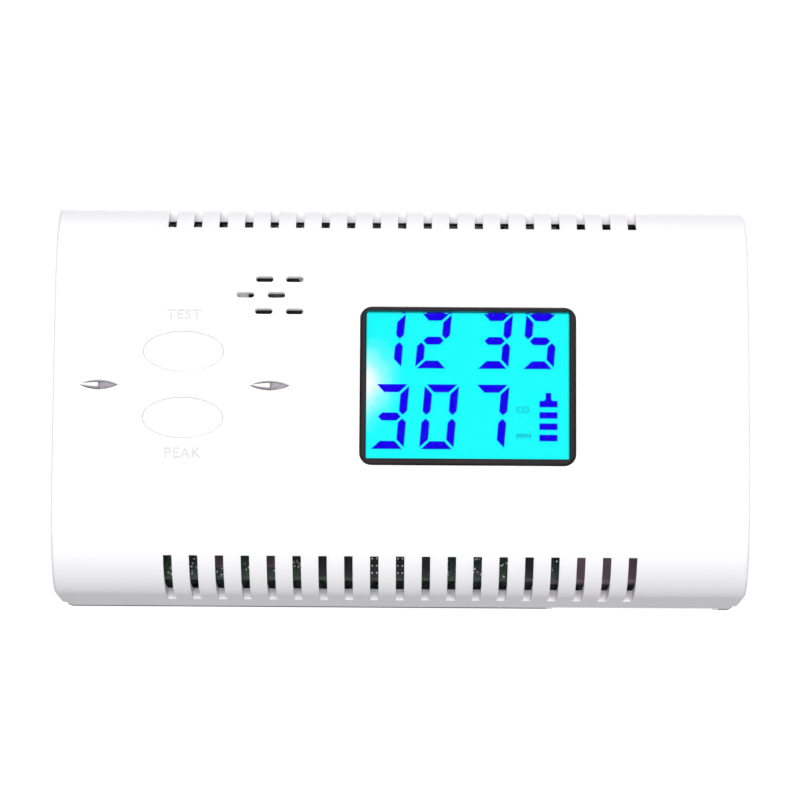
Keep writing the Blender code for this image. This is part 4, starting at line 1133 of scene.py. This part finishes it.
def backlight():
    """The light guide with its two lamp pockets, and the zebra strip under it."""
    left, right = span(DISPLAY[0], LCD_SIZE[0])
    low, high = DISPLAY[1] - LCD_SIZE[1] / 2 + 4 * MM, DISPLAY[1] + LCD_SIZE[1] / 2
    pocket_depth, pocket_half = 1.2 * MM, 1.5 * MM

    def guide(edit):
        outline = [(left, low), (right, low), (right, high), (left, high)]
        for centre in (high - 7 * MM, low + 7 * MM):
            upper, lower = centre + pocket_half, centre - pocket_half
            outline += [(left, upper), (left + pocket_depth, upper)]
            outline += [(left + pocket_depth, lower), (left, lower)]
        add_prism(edit, outline, *GUIDE_DEPTHS, 0.1 * MM)

    piece("backlight_guide", guide, "backlight_guide", GUIDE, "lcd_backlight")
    strip = ((DISPLAY[0] - 16.5 * MM, DISPLAY[0] + 16.5 * MM), (low - 3.2 * MM, low - 0.8 * MM))

    def zebra(edit):
        add_block(edit, *strip, (GUIDE_DEPTHS[0], BOARD_FRONT), 0.3 * MM)

    piece("zebra_strip", zebra, "zebra_rubber", ZEBRA, "zebra_connector")


def panel_holder():
    """The frame that carries the LCD, with ledges under the light guide and two screw ears."""
    opening = (LCD_SIZE[0] + 2 * GAP, LCD_SIZE[1] + 2 * GAP)
    edit = bmesh.new()
    rings = [rounded_box(DISPLAY, HOLDER_SIZE, 0.8 * MM), rounded_box(DISPLAY, opening, 0.3 * MM)]
    add_frame(edit, *rings, 3.9 * MM, BOARD_FRONT, 0.2 * MM)
    holder = make_object("panel_holder", edit)
    reach = span(DISPLAY[1], LCD_SIZE[1])
    ear_depths = (9 * MM, BOARD_FRONT)
    steps = []
    for number, sign in enumerate((-1, 1), 1):
        edges = [DISPLAY[0] + sign * (opening[0] / 2 + out) for out in (-1.8 * MM, 0.5 * MM)]
        ledge = solid(add_block, sorted(edges), reach, (9.3 * MM, 10.5 * MM), 0.1 * MM)
        spot = (DISPLAY[0], DISPLAY[1] + sign * HOLDER_EAR_Z)
        neck_x = (spot[0] - 2.55 * MM, spot[0] + 2.55 * MM)
        neck_z = sorted((spot[1], spot[1] - sign * 3 * MM))
        neck = solid(add_block, neck_x, neck_z, ear_depths, 0.1 * MM)
        ear = solid(add_prism, ellipse(spot, (5.2 * MM, 5.2 * MM)), *ear_depths, 0.12 * MM)
        pilot = solid(add_prism, circle(spot, 0.9 * MM), 10 * MM, BOARD_BACK, 0.03 * MM)
        steps += [("UNION", ledge), ("UNION", neck), ("UNION", ear), ("DIFFERENCE", pilot)]
        name = f"holder_screw_{number}"
        add_screw(name, f"lcd_{name}", spot, BOARD_BACK, (1.2, 1.9, 0.7, 5))
    carve(holder, *steps)
    finish_piece(holder, "holder_black", HOLDER, "lcd_holder")


def add_screw(name, replaced, spot, seat, sizes):
    """A pan-head screw with a cross recess and a thread.

    The sizes are the head's height and radius, the shank's radius and its length, in millimetres.
    """
    head, head_radius, shank, length = sizes
    core, pitch = shank * 0.8, 0.9
    profile = [(0, head), (head_radius * 0.55, head * 0.97), (head_radius * 0.85, head * 0.75)]
    profile += [(head_radius, head * 0.35), (head_radius, 0), (shank, 0)]
    for i in range(int(length / pitch)):
        h = -0.6 - i * pitch
        if h - 0.6 > -length:
            profile += [(core, h), (core, h - 0.3), (shank, h - 0.45)]
    profile += [(core, 0.8 - length), (0, -length)]
    edit = bmesh.new()
    add_turned(edit, mm(*profile), at(*spot, seat), steps=40)
    screw = make_object(name, edit)

    def cross(edit):
        arm, half = head_radius * 0.58, head_radius * 0.11
        plus = [(arm, -half), (arm, half), (half, half), (half, arm), (-half, arm), (-half, half)]
        plus = mm(*plus, *[(-x, -z) for x, z in plus])
        rings = []
        for share, height in ((0.55, head * 0.25), (1.0, head * 0.9), (1.08, head + 1)):
            depth = seat + height * MM
            rings.append([at(spot[0] + x * share, spot[1] + z * share, depth) for x, z in plus])
        add_loft(edit, rings)

    carve(screw, ("DIFFERENCE", helper(cross)))
    finish_piece(screw, "screw_steel", STEEL, replaced)


def case_screws():
    for i, post in enumerate(POSTS):
        names = (f"case_screw_{i + 1}", f"housing_screw_{i + 1}")
        add_screw(*names, post, SCREW_SEAT_DEPTH + GAP, (1.8, 2.5, 1.1, 12))


# The controls


def button_cap(name, centre):
    """An elliptical cap that follows the crown of the front, and its retaining flange."""

    def build(edit):
        outline = ellipse(centre, BUTTON_SIZE)
        rings = []
        for share in (0.15, 0.35, 0.55, 0.75, 0.88):
            dome = 0.1 * MM * share**2
            inner = ellipse(centre, (BUTTON_SIZE[0] * share, BUTTON_SIZE[1] * share))
            rings.append([at(x, z, face_depth(z) + dome) for x, z in inner])
        for inset, drop in round_steps(0.3 * MM, 4):
            rings.append([at(x, z, face_depth(z) + 0.1 * MM + drop) for x, z in grown(outline, -inset)])
        rings.append([at(x, z, BUTTON_FLANGE_DEPTHS[0]) for x, z in outline])
        flange = ellipse(centre, BUTTON_FLANGE)
        rings += [[at(x, z, depth) for x, z in flange] for depth in BUTTON_FLANGE_DEPTHS]
        add_loft(edit, rings)

    button = f"{name}_button"
    piece(f"{button}_cap", build, "button_white", WHITE_BUTTON, button, body=button)


def switch(name, centre):
    """A tact switch: black body with a steel cover plate, and its grey plunger."""
    edit = bmesh.new()
    body_outline = rounded_box(centre, (6 * MM, 6 * MM), 0.4 * MM)
    add_prism(edit, body_outline, SWITCH_FRONT + 0.35 * MM, BOARD_FRONT, 0.12 * MM)
    body = make_object(f"{name}_switch", edit)
    bore_depths = (SWITCH_FRONT - MM, SWITCH_FRONT + 3 * MM)
    bore = solid(add_prism, circle(centre, 1.9 * MM), *bore_depths, 0.03 * MM)
    carve(body, ("DIFFERENCE", bore))
    finish_piece(body, "switch_black", BLACK, f"{name}_switch_body")

    def cover(edit):
        outer = rounded_box(centre, (5.7 * MM, 5.7 * MM), 0.4 * MM, 7)
        inner = circle(centre, 1.95 * MM, 32)
        add_frame(edit, outer, inner, SWITCH_FRONT, SWITCH_FRONT + 0.3 * MM, 0.05 * MM)

    piece(f"{name}_switch_plate", cover, "switch_black", STEEL)
    sides = [(0, 0), (PLUNGER_RADIUS, 0), (PLUNGER_RADIUS, PLUNGER_LENGTH), (0, PLUNGER_LENGTH)]
    place = at(*centre, PLUNGER_FRONT)
    names = (f"{name}_plunger", softened(sides, 0.25 * MM), place, "plunger_grey", GREY)
    turned_piece(*names, f"{name}_switch_plunger", body=f"{name}_button")


def indicator(name, centre, glow):
    """A light pipe in its eye-shaped dimple, and the lamp behind it."""
    size = (EYE_SIZE[0] - 0.14 * MM, EYE_SIZE[1] - 0.14 * MM)
    outline = eye(centre, size)
    left_half = [(min(x, centre[0]), z) for x, z in outline]
    stem_spot = (centre[0] + PIPE_OFFSET, centre[1])

    def lens(edit):
        """The left half carries a glassy ridge, with a dark gap above and below it."""
        rings = []
        for share, sink in ((0.1, 0.12), (0.3, 0.15), (0.44, 0.24), (0.52, 0.42), (0.54, 0.7), (0.54, 2.4)):
            level = [(x, centre[1] + 0.1 * MM + (z - centre[1]) * share) for x, z in left_half]
            rings.append([at(x, z, sink * MM) for x, z in level])
        add_loft(edit, rings)
        bmesh.ops.remove_doubles(edit, verts=edit.verts, dist=0.001 * MM)

    def floor_depth(x, z):
        """The dimple's floor is deep under the ridge, and rises to the right tip and the lower edge."""
        right = max(x - centre[0], 0.0) / (EYE_SIZE[0] / 2)
        lower = max(centre[1] - z, 0.0) / (EYE_SIZE[1] / 2)
        rise = 0.8 * right + 1.1 * lower if right > 0 else 0.0
        return (2.0 - rise) * MM

    def scoop(edit):
        rings = []
        for share in (0.15, 0.4, 0.65, 0.85, 1.0):
            left, base = centre[0] * (1 - share), centre[1] * (1 - share)
            level = [(left + x * share, base + z * share) for x, z in outline]
            rings.append([at(x, z, floor_depth(x, z)) for x, z in level])
        rings.append([at(x, z, PIPE_PLATE_DEPTHS[0]) for x, z in outline])
        plate = ellipse(centre, PIPE_PLATE, len(outline))
        rings += [[at(x, z, depth) for x, z in plate] for depth in PIPE_PLATE_DEPTHS]
        stem = ellipse(stem_spot, (3 * MM, 3 * MM), len(outline))
        rings += [[at(x, z, depth) for x, z in stem] for depth in (PIPE_PLATE_DEPTHS[1], PIPE_END_DEPTH)]
        add_loft(edit, rings)

    piece(f"{name}_lens", lens, "light_pipe_clear", PIPE)
    # The scoop's grey is painted shade of the dimple.
    piece(f"{name}_pipe", scoop, "light_pipe_clear", PIPE_SCOOP_SHADE, f"{name}_light_pipe")
    radius, top = 1.5 * MM, 3.6 * MM
    angles = [t / 10 * math.pi / 2 for t in range(11)]
    profile = [(radius * math.sin(turn), top + radius * math.cos(turn)) for turn in angles]
    profile += [(radius, MM), (1.9 * MM, 0.9 * MM), (1.9 * MM, 0), (0, 0)]
    colour = "led_red" if name == "alarm" else "led_green"
    lamp = (f"{name}_lamp", profile, at(*stem_spot, BOARD_FRONT), colour, glow)
    turned_piece(*lamp, f"{name}_led", axis=TO_FRONT)


def sounder():
    """The sounder's case, and the piezo disc in it: brass with a ceramic face."""
    height = BOARD_FRONT - SOUNDER_FRONT
    wall, mouth = MM, 2 * MM
    outline = [(mouth, height - wall), (mouth, height), (SOUNDER_RADIUS, height), (SOUNDER_RADIUS, 0)]
    outline += [(SOUNDER_RADIUS - wall, 0), (SOUNDER_RADIUS - wall, height - wall), (mouth, height - wall)]
    case = ("sounder_case", softened(outline, 0.25 * MM), at(*SOUNDER, BOARD_FRONT), "sounder_black", BLACK)
    turned_piece(*case, "buzzer_case", axis=TO_FRONT, steps=64)
    radius = SOUNDER_RADIUS - wall - GAP
    disc = softened([(0, 0), (radius, 0), (radius, 0.3 * MM), (0, 0.3 * MM)], 0.04 * MM)
    place = at(*SOUNDER, DISC_DEPTH)
    turned_piece("sounder_disc", disc, place, "disc_brass", BRASS, "buzzer_disc", steps=64)
    face = softened([(0, 0), (4.6 * MM, 0), (4.6 * MM, 0.18 * MM), (0, 0.18 * MM)], 0.03 * MM)
    place = at(*SOUNDER, DISC_DEPTH - 0.19 * MM)
    turned_piece("sounder_ceramic", face, place, "disc_brass", CERAMIC, steps=64)


# The board and what is soldered to it


def board():
    """The notched board: solder mask on its faces, bare laminate round its edges and in its holes, its tone
    darkened there as painted shade.
    """
    notch_x, notch_z = BOARD_NOTCH
    half = BOARD_HALF_HEIGHT
    outline = [(BOARD_LEFT, -half), (notch_x, -half), (notch_x, -notch_z), (BOARD_RIGHT, -notch_z)]
    outline += [(BOARD_RIGHT, notch_z), (notch_x, notch_z), (notch_x, half), (BOARD_LEFT, half)]
    edit = bmesh.new()
    add_loft(edit, [[at(x, z, depth) for x, z in outline] for depth in BOARD_DEPTHS])
    panel = make_object("circuit_board", edit)

    def holes(edit):
        spots = [(post, 1.5) for post in POSTS] + [(spot, 0.9) for spot in GAS_PINS]
        spots += [((DISPLAY[0], DISPLAY[1] + sign * HOLDER_EAR_Z), 1.0) for sign in (-1, 1)]
        for spot, radius in spots:
            depths = (BOARD_DEPTHS[0] - MM, BOARD_DEPTHS[1] + MM)
            add_prism(edit, circle(spot, radius * MM), *depths, 0.02 * MM)

    carve(panel, ("DIFFERENCE", helper(holes)))
    finish_piece(panel, "board_green", [MASK, LAMINATE], "main_pcb")
    for polygon in panel.data.polygons:
        polygon.material_index = 0 if abs(polygon.normal.y) > 0.5 else 1


def add_strip(edit, start, end, width, depths):
    """A straight track between two (x, z) points."""
    run = (Vector(end) - Vector(start)).normalized() * width / 2
    side = Vector((-run.y, run.x))
    corners = [Vector(start) - run - side, Vector(end) + run - side]
    corners += [Vector(end) + run + side, Vector(start) - run + side]
    add_loft(edit, [[at(c.x, c.y, depth) for c in corners] for depth in depths])


def board_details():
    """What shows through the slots: tracks, solder, chip parts, a brown part or two, and pin rows."""
    rng = random.Random(7)
    front = BOARD_DEPTHS[0]
    slots = [x for x in VENT_XS if x < BOARD_NOTCH[0]]
    kinds = ["track", "beads", "brown", "track", "brown", "beads", "chip", "chip", "pins", "pins"]
    shown = list(zip(slots, kinds + ["chip", "track", "beads", "track", "chip", "track"]))
    low, high = -BOARD_HALF_HEIGHT + 0.5 * MM, -BOARD_HALF_HEIGHT + 4.2 * MM
    spots = []
    for x, kind in shown:
        count = {"beads": 11, "track": 4, "brown": 3, "pins": 0, "chip": 1}[kind]
        for _ in range(count):
            spots.append((x + rng.uniform(-0.8, 0.8) * MM, rng.uniform(low, high)))
    edge_z = BOARD_HALF_HEIGHT
    top = [(BOARD_LEFT + (2 + 1.15 * i) * MM, edge_z - rng.uniform(0.5, 1.0) * MM) for i in range(70)]
    clear = [spot for spot in top if all((Vector(spot) - Vector(post)).length > 5 * MM for post in POSTS)]

    def tracks(edit):
        depths = (front - 0.04 * MM, front + 0.02 * MM)
        for x, _ in shown:
            for side in (-0.55, 0.0, 0.55):
                start = (x + side * MM, low + rng.uniform(0, 1) * MM)
                bend = (x + side * MM, high + rng.uniform(0, 2) * MM)
                add_strip(edit, start, bend, 0.26 * MM, depths)
                end = (bend[0] + rng.uniform(-2, 2) * MM, bend[1] + 2.5 * MM)
                add_strip(edit, bend, end, 0.26 * MM, depths)
        for sign in (-1, 1):
            z = sign * (BOARD_HALF_HEIGHT - 0.3 * MM)
            ends = ((BOARD_LEFT + 2 * MM, z), (BOARD_NOTCH[0] - 2 * MM, z))
            add_strip(edit, *ends, 0.3 * MM, depths)

    # A pinkish strip that paints the shade seen through the top slots.
    def pink_shade(edit):
        z = BOARD_HALF_HEIGHT - 0.75 * MM
        ends = ((BOARD_LEFT + 2 * MM, z), (BOARD_NOTCH[0] - 2 * MM, z))
        add_strip(edit, *ends, 1.1 * MM, (front - 0.05 * MM, front + 0.02 * MM))

    def chips(edit):
        chip_sizes = {"chip": (1.7 * MM, MM), "pins": (1.9 * MM, 1.6 * MM)}
        for x, kind in shown:
            if kind in chip_sizes:
                half, height = chip_sizes[kind]
                depths = (front - height, front - 0.05 * MM)
                add_block(edit, (x - half, x + half), (low, high), depths, 0.12 * MM)
        for x, z in clear:
            if rng.random() < 0.5:
                half = rng.uniform(0.2, 0.4) * MM
                height = rng.uniform(0.3, 0.6) * MM
                depths = (front - height, front - 0.06 * MM)
                add_block(edit, (x - half, x + half), (z - 0.3 * MM, z + 0.25 * MM), depths, 0.05 * MM)

    def browns(edit):
        for x, kind in shown:
            if kind == "brown":
                depths = (front - 2.2 * MM, front - 0.05 * MM)
                add_block(edit, (x - 1.5 * MM, x + 1.5 * MM), (low + 1.3 * MM, high + MM), depths, 0.35 * MM)

    def joints(edit):
        pin = mm((0, 0.5), (0.16, 0.45), (0.2, 0.3), (0.2, 0), (0, 0))
        for x, z in spots:
            size = rng.uniform(0.14, 0.3) * MM
            bead = [(0, size), (size * 0.7, size * 0.75), (size, size * 0.2), (size * 1.2, 0), (0, 0)]
            add_turned(edit, bead, at(x, z, front - 0.045 * MM), TO_FRONT, 12)
        for x, kind in shown:
            if kind == "pins":
                for step_x in (-0.4, 0.4):
                    for step_z in range(3):
                        spot = (x + step_x * MM, low + (0.5 + 1.25 * step_z) * MM)
                        add_turned(edit, pin, at(*spot, front - 1.61 * MM), TO_FRONT, 12)
            if kind == "chip":
                for step in range(4):
                    z = low + (0.5 + 0.9 * step) * MM
                    for side in (-1, 1):
                        across = sorted((x + side * 1.7 * MM, x + side * 2.2 * MM))
                        depths = (front - 0.3 * MM, front - 0.05 * MM)
                        add_block(edit, across, (z - 0.15 * MM, z + 0.15 * MM), depths, 0.05 * MM)

    piece("board_tracks", tracks, "board_green", TRACK)
    piece("board_tinned_strip", pink_shade, "pin_gold", PINK_PAINTED_SHADE)
    piece("board_chip_parts", chips, "chip_black", BLACK)
    piece("board_brown_parts", browns, "chip_black", BROWN)
    piece("board_joints", joints, "pin_gold", TIN)


def gas_cell():
    """The gas cell's rolled can, its vented cap at the back and its two pins."""
    near, far = GAS_CELL_DEPTHS
    radius, length = 7.4 * MM, far - near
    neck = radius - 0.25 * MM
    can = [(0, 0), (radius - 0.2 * MM, 0), (radius, 0.4 * MM), (radius, 1.6 * MM), (neck, 2.0 * MM)]
    can += [(neck, length - 2.2 * MM), (radius, length - 1.8 * MM), (radius, length - 0.3 * MM)]
    can += [(radius - 0.9 * MM, length), (0, length)]
    body = ("gas_cell_can", softened(can, 0.3 * MM), at(*GAS_CELL, near), "sensor_steel", CAN)
    turned_piece(*body, "co_sensor_can", steps=72)
    cap = mm((1.2, 0), (6, 0), (6, 2.4), (4.2, 2.4), (3.8, 1.9), (1.2, 1.9), (1.2, 0))
    lid = ("gas_cell_cap", softened(cap, 0.25 * MM), at(*GAS_CELL, far + GAP), "sensor_cap_black", HOLDER)
    turned_piece(*lid, "co_sensor_cap", steps=64)
    pin = softened([(0, 0), (0.5 * MM, 0), (0.5 * MM, GAS_PIN_LENGTH), (0, GAS_PIN_LENGTH)], 0.2 * MM)
    for i, spot in enumerate(GAS_PINS):
        start = at(*spot, near - GAP - GAS_PIN_LENGTH)
        name = f"gas_cell_pin_{i + 1}"
        turned_piece(name, pin, start, "pin_gold", GOLD, f"co_sensor_pin_{i + 1}", steps=24)


def chip(name, node_name, centre, size, height, legs, sides):
    """A moulded chip with gull-wing legs on two or four sides, and a dimple by its first leg."""
    x, z = span(centre[0], size[0]), span(centre[1], size[1])
    margin, top = 1.0 * MM, BOARD_BACK + height

    def moulding(edit):
        reach_z = (z[0] + margin, z[1] - margin) if sides == 4 else z
        depths = (BOARD_BACK + 0.1 * MM, top)
        add_block(edit, (x[0] + margin, x[1] - margin), reach_z, depths, 0.15 * MM)

    body = piece(name, moulding, "chip_black", BLACK, node_name)
    dot = circle((x[0] + margin + 0.9 * MM, z[1] - margin - 0.9 * MM), 0.35 * MM)
    carve(body, ("DIFFERENCE", solid(add_prism, dot, top - 0.1 * MM, top + MM, 0.02 * MM)))
    shade(body.data)

    def leg_rows(edit):
        shoulder, foot = BOARD_BACK + height * 0.55, BOARD_BACK + 0.12 * MM
        for i in range(legs):
            for side in (-1, 1):
                out = [(0.0, shoulder), (0.35, shoulder), (0.55, foot), (1.0, foot)]
                share = (i + 0.5) / legs
                if sides in (2, 4):
                    place = z[0] + margin + (size[1] - 2 * margin) * share
                    edge = centre[0] + side * (size[0] / 2 - margin)
                    rows = [(edge + side * o * margin, place, d) for o, d in out]
                    add_leg(edit, rows, (0, 0, 1))
                if sides == 4:
                    place = x[0] + margin + (size[0] - 2 * margin) * share
                    edge = centre[1] + side * (size[1] / 2 - margin)
                    rows = [(place, edge + side * o * margin, d) for o, d in out]
                    add_leg(edit, rows, (1, 0, 0))

    piece(f"{name}_legs", leg_rows, "pin_gold", TIN)


def add_leg(edit, rows, across):
    """A flat bent leg: a thin band through (x, z, depth) points."""
    width = Vector(across) * 0.16 * MM
    thick = Vector((0, 0.08 * MM, 0))
    rings = []
    for x, z, depth in rows:
        middle = at(x, z, depth)
        near, far = middle - thick, middle + thick
        rings.append([near - width, near + width, far + width, far - width])
    add_loft(edit, rings)


def board_parts():
    """The chips, the capacitor, the coil and the crystal on the back of the board."""
    chip("micro_chip", "microcontroller", (-38 * MM, 4 * MM), (9 * MM, 9 * MM), 1.4 * MM, 11, 4)
    chip("driver_chip", "lcd_driver", (6 * MM, 2 * MM), (7.5 * MM, 12 * MM), 1.6 * MM, 12, 2)
    can = mm((0, 0), (3, 0), (3.15, 0.3), (3.15, 0.9), (2.95, 1.2), (3.15, 1.5), (3.15, 7.1))
    can += mm((2.7, 7.5), (2.4, 7.35), (0, 7.35))
    body = ("capacitor_body", softened(can, 0.15 * MM), at(4 * MM, -16 * MM, BOARD_BACK))
    turned_piece(*body, "capacitor_sleeve", SLEEVE, "capacitor")
    bobbin = mm((0, 0), (3, 0), (3, 0.8), (1.6, 0.9), (1.6, 3.6), (3, 3.7), (3, 4.5), (0, 4.5))
    spot = at(-6 * MM, -24 * MM, BOARD_BACK)
    core = ("inductor_core", softened(bobbin, 0.12 * MM), spot)
    turned_piece(*core, "inductor_copper", FERRITE, "inductor")

    def winding(edit):
        turns, per_turn = 9, 28
        points = []
        for i in range(turns * per_turn + 1):
            turn = math.tau * i / per_turn
            rise = (1.12 + 2.26 * i / (turns * per_turn)) * MM
            points.append(spot + Vector((2.35 * MM * math.cos(turn), rise, 2.35 * MM * math.sin(turn))))
        add_tube(edit, points, 0.12 * MM, 8)

    piece("inductor_winding", winding, "inductor_copper", ENAMEL)

    def crystal(edit):
        lid = stadium((-38 * MM, -7 * MM), (9.9 * MM, 3.4 * MM), 16)
        add_prism(edit, lid, BOARD_BACK + 0.3 * MM, BOARD_BACK + 3.5 * MM, 0.02 * MM, 0.45 * MM)
        base = stadium((-38 * MM, -7 * MM), (10.5 * MM, 4 * MM), 16)
        add_prism(edit, base, BOARD_BACK, BOARD_BACK + 0.28 * MM, 0.08 * MM)

    piece("crystal_can", crystal, "pin_gold", CAN, "crystal")


# The batteries


def battery(number, x, up):
    """An AA cell in its printed film, with a crimped shoulder and bare terminals."""
    tip = BAY_HALF_HEIGHT - PLATE_THICK - 2 * GAP
    sign = 1 if up else -1
    foot = at(x, sign * (tip - CELL_LENGTH), CELL_DEPTH)
    body = CELL_LENGTH - 1 * MM
    crimp = CELL_RADIUS - 0.3 * MM
    film = [(5.2 * MM, 0.05 * MM), (crimp, 0.05 * MM), (CELL_RADIUS, 0.5 * MM)]
    film += [(CELL_RADIUS, body - 0.5 * MM), (crimp, body - 0.1 * MM), (5.6 * MM, body - 0.1 * MM)]
    film += [(5.6 * MM, body - 0.3 * MM), (5.2 * MM, 0.3 * MM), (5.2 * MM, 0.05 * MM)]

    sleeve = (f"cell_{number}_film", film, foot, "cell_wrap", WRAP)
    wrap = turned_piece(*sleeve, f"battery_{number}", axis=(0, 0, sign), steps=72)
    layer = wrap.data.uv_layers.new(name="along")
    for loop in wrap.data.loops:
        height = (wrap.data.vertices[loop.vertex_index].co.z - foot.z) * sign / CELL_LENGTH
        layer.data[loop.index].uv = (0.5, height)
    ends = [(0, 0.02 * MM), (5.0 * MM, 0.02 * MM), (5.0 * MM, body - 0.35 * MM), (4.6 * MM, body - 0.1 * MM)]
    ends += [(2.9 * MM, body), (2.7 * MM, body + 0.1 * MM), (2.7 * MM, CELL_LENGTH - 0.15 * MM)]
    ends += [(2.5 * MM, CELL_LENGTH), (0, CELL_LENGTH)]
    metal = (f"cell_{number}_terminals", ends, foot, "cell_wrap", TERMINAL)
    turned_piece(*metal, axis=(0, 0, sign), steps=64)
    return foot.z


def contact_plate(name, x, z):
    """A thin plate with rounded corners across one end of the bay."""

    def build(edit):
        outline = rounded_range(x, (21.5 * MM, 34.5 * MM), 0.8 * MM)
        rings = []
        edge, round_height = 0.1 * MM, 0.08 * MM
        levels = [(edge, 0), (0, round_height), (0, PLATE_THICK - round_height), (edge, PLATE_THICK)]
        for inset, height in levels:
            rings.append([Vector((px, depth - DEPTH, z + height)) for px, depth in grown(outline, -inset)])
        add_loft(edit, rings)

    piece(f"{name}_contact", build, "contact_steel", STEEL, name)


def contact_spring(name, x, plate_z, cell_z):
    """A conical spring from its plate to the cell's flat end."""
    wire_radius = 0.4 * MM
    turns, per_turn = 4, 30
    sign = 1 if cell_z > plate_z else -1
    start = plate_z + sign * (wire_radius + GAP)
    end = cell_z - sign * (wire_radius + GAP)
    points = []
    for i in range(turns * per_turn + 1):
        share = i / (turns * per_turn)
        angle = math.tau * turns * share
        radius = (5.2 - 2.4 * share) * MM
        centre = at(x, start + (end - start) * share, CELL_DEPTH)
        points.append(centre + Vector((radius * math.cos(angle), radius * math.sin(angle), 0)))
    piece(f"{name}_coil", lambda e: add_tube(e, points, wire_radius), "contact_steel", SPRING, name)


def lead(name, node_name, start_x, board_z, board_x, material, slot):
    """A lead out of the bay and along to the back of the board, on the CAD's route."""
    run = (BOARD_BACK + BAY_FRONT_DEPTH - BAY_WALL) / 2
    route = [
        at(start_x, LEAD_Z, BAY_FRONT_DEPTH + 0.6 * MM),
        at(start_x, LEAD_Z, BAY_FRONT_DEPTH - BAY_WALL),
        at(start_x - 1.6 * MM, LEAD_Z, run),
        at(start_x - 5 * MM, (LEAD_Z + board_z) / 2, run),
        at((start_x + board_x) / 2, board_z, run),
        at(board_x + 2.4 * MM, board_z, run),
        at(board_x + 0.4 * MM, board_z, run - 0.5 * MM),
        at(board_x, board_z, BOARD_BACK),
    ]
    points = smooth_route(route)
    piece(name, lambda e: add_tube(e, points, LEAD_RADIUS, 18), slot, material, node_name)


def batteries():
    left, right = CELL_XS
    floor = -BAY_HALF_HEIGHT + GAP
    ceiling = BAY_HALF_HEIGHT - GAP - PLATE_THICK
    half = 6.2 * MM
    contact_plate("battery_bridge_plate", (left - half, right + half), floor)
    contact_plate("battery_positive_plate", (left - half, left + half), ceiling)
    contact_plate("battery_negative_plate", (right - half, right + half), ceiling)
    left_foot = battery(1, left, up=True)
    right_foot = battery(2, right, up=False)
    contact_spring("battery_spring_lower", left, floor + PLATE_THICK, left_foot)
    contact_spring("battery_spring_upper", right, ceiling, right_foot)
    lead("lead_red", "battery_lead_red", LEAD_XS[0], 29 * MM, 20 * MM, RED_LEAD, "lead_red")
    lead("lead_black", "battery_lead_black", LEAD_XS[1], 24 * MM, 26 * MM, BLACK_LEAD, "lead_black")


# The stage

CAMERA_PLACE = Vector((-0.2, -702.8, -106.9)) * MM
CAMERA_LENS = 177.2
CAMERA_TILT = math.radians(8.96)
CAMERA_ROLL = math.radians(0.37)
FLOOR_HEIGHT = -0.42
FLOOR_HALF = 12.0
CARD_HALF = 0.55
AMBIENT, AMBIENT_LOW = 0.58, 0.14


def camera():
    data = bpy.data.cameras.new("camera")
    data.lens = CAMERA_LENS
    data.sensor_width = 36
    data.clip_start = 0.01
    obj = bpy.data.objects.new("camera", data)
    bpy.context.scene.collection.objects.link(obj)
    turn = Matrix.Rotation(math.pi / 2 + CAMERA_TILT, 4, "X") @ Matrix.Rotation(CAMERA_ROLL, 4, "Z")
    obj.matrix_world = Matrix.Translation(CAMERA_PLACE) @ turn
    bpy.context.scene.camera = obj


def soft_light(name, place, size, power, target=(0, -0.02, 0)):
    data = bpy.data.lights.new(name, "AREA")
    data.shape = "RECTANGLE"
    data.size, data.size_y = size
    data.energy = power
    obj = bpy.data.objects.new(name, data)
    bpy.context.scene.collection.objects.link(obj)
    obj.location = place
    obj.rotation_euler = (Vector(target) - Vector(place)).to_track_quat("-Z", "Y").to_euler()
    obj.visible_camera = False


def stage():
    """A pale floor, a white surrounding and three large soft lights."""
    world = bpy.data.worlds.new("studio")
    bpy.context.scene.world = world
    tree = empty_tree(world)
    seen = node(tree, "ShaderNodeBackground", {"Color": (1, 1, 1, 1), "Strength": 1.05})
    heading = node(tree, "ShaderNodeTexCoord").outputs["Generated"]
    height = node(tree, "ShaderNodeSeparateXYZ", {"Vector": heading}).outputs["Z"]
    strength = remap(tree, height, AMBIENT_LOW, AMBIENT, -0.5, 0.2)
    ambient = node(tree, "ShaderNodeBackground", {"Color": (0.975, 0.975, 1, 1), "Strength": strength})
    rays = node(tree, "ShaderNodeLightPath")
    outputs = [shader.outputs["Background"] for shader in (ambient, seen)]
    add_mix(tree, rays.outputs["Is Camera Ray"], *outputs, "ShaderNodeOutputWorld")

    card = surface("card_paper", (0.62, 0.62, 0.63), 0.8, vary=0.01, vary_scale=3, grain=300)
    glow = {"Emission_Color": (0.84, 0.84, 0.85, 1), "Emission_Strength": 1.0}
    dark = (0.02, 0.02, 0.02)
    paper = surface("floor_paper", dark, 0.9, vary=0.01, vary_scale=3, Specular_IOR_Level=0.0, **glow)
    for name, half, drop in (("floor", FLOOR_HALF, 300 * MM), ("reflector_card", CARD_HALF, 0.0)):
        edit = bmesh.new()
        bmesh.ops.create_grid(edit, x_segments=2, y_segments=2, size=half)
        sheet = make_object(name, edit)
        sheet.location.z = FLOOR_HEIGHT - drop
        only_seen = name == "floor"
        sheet.data.materials.append(paper if only_seen else card)
        sheet.visible_camera = only_seen
        for way in ("diffuse", "glossy", "transmission", "shadow"):
            setattr(sheet, f"visible_{way}", not only_seen)

    soft_light("key", (-0.15, -1.3, 0.6), (1.3, 1.0), 9.5)
    soft_light("low_fill", (0.1, -1.3, -0.4), (1.5, 0.5), 12.0)
    soft_light("back_fill", (0.3, 1.4, 0.6), (1.2, 1.0), 9.0)
    bpy.context.scene.view_settings.view_transform = "Standard"


camera()
stage()
front_shell()
front_print()
rear_shell()
door_cover()
case_screws()
display_bezel()
display_panel()
backlight()
panel_holder()
for label, middle in BUTTONS.items():
    button_cap(label, middle)
    switch(label, middle)
indicator("alarm", INDICATORS["alarm"], RED_LED)
indicator("power", INDICATORS["power"], GREEN_LED)
sounder()
board()
board_details()
gas_cell()
board_parts()
batteries()
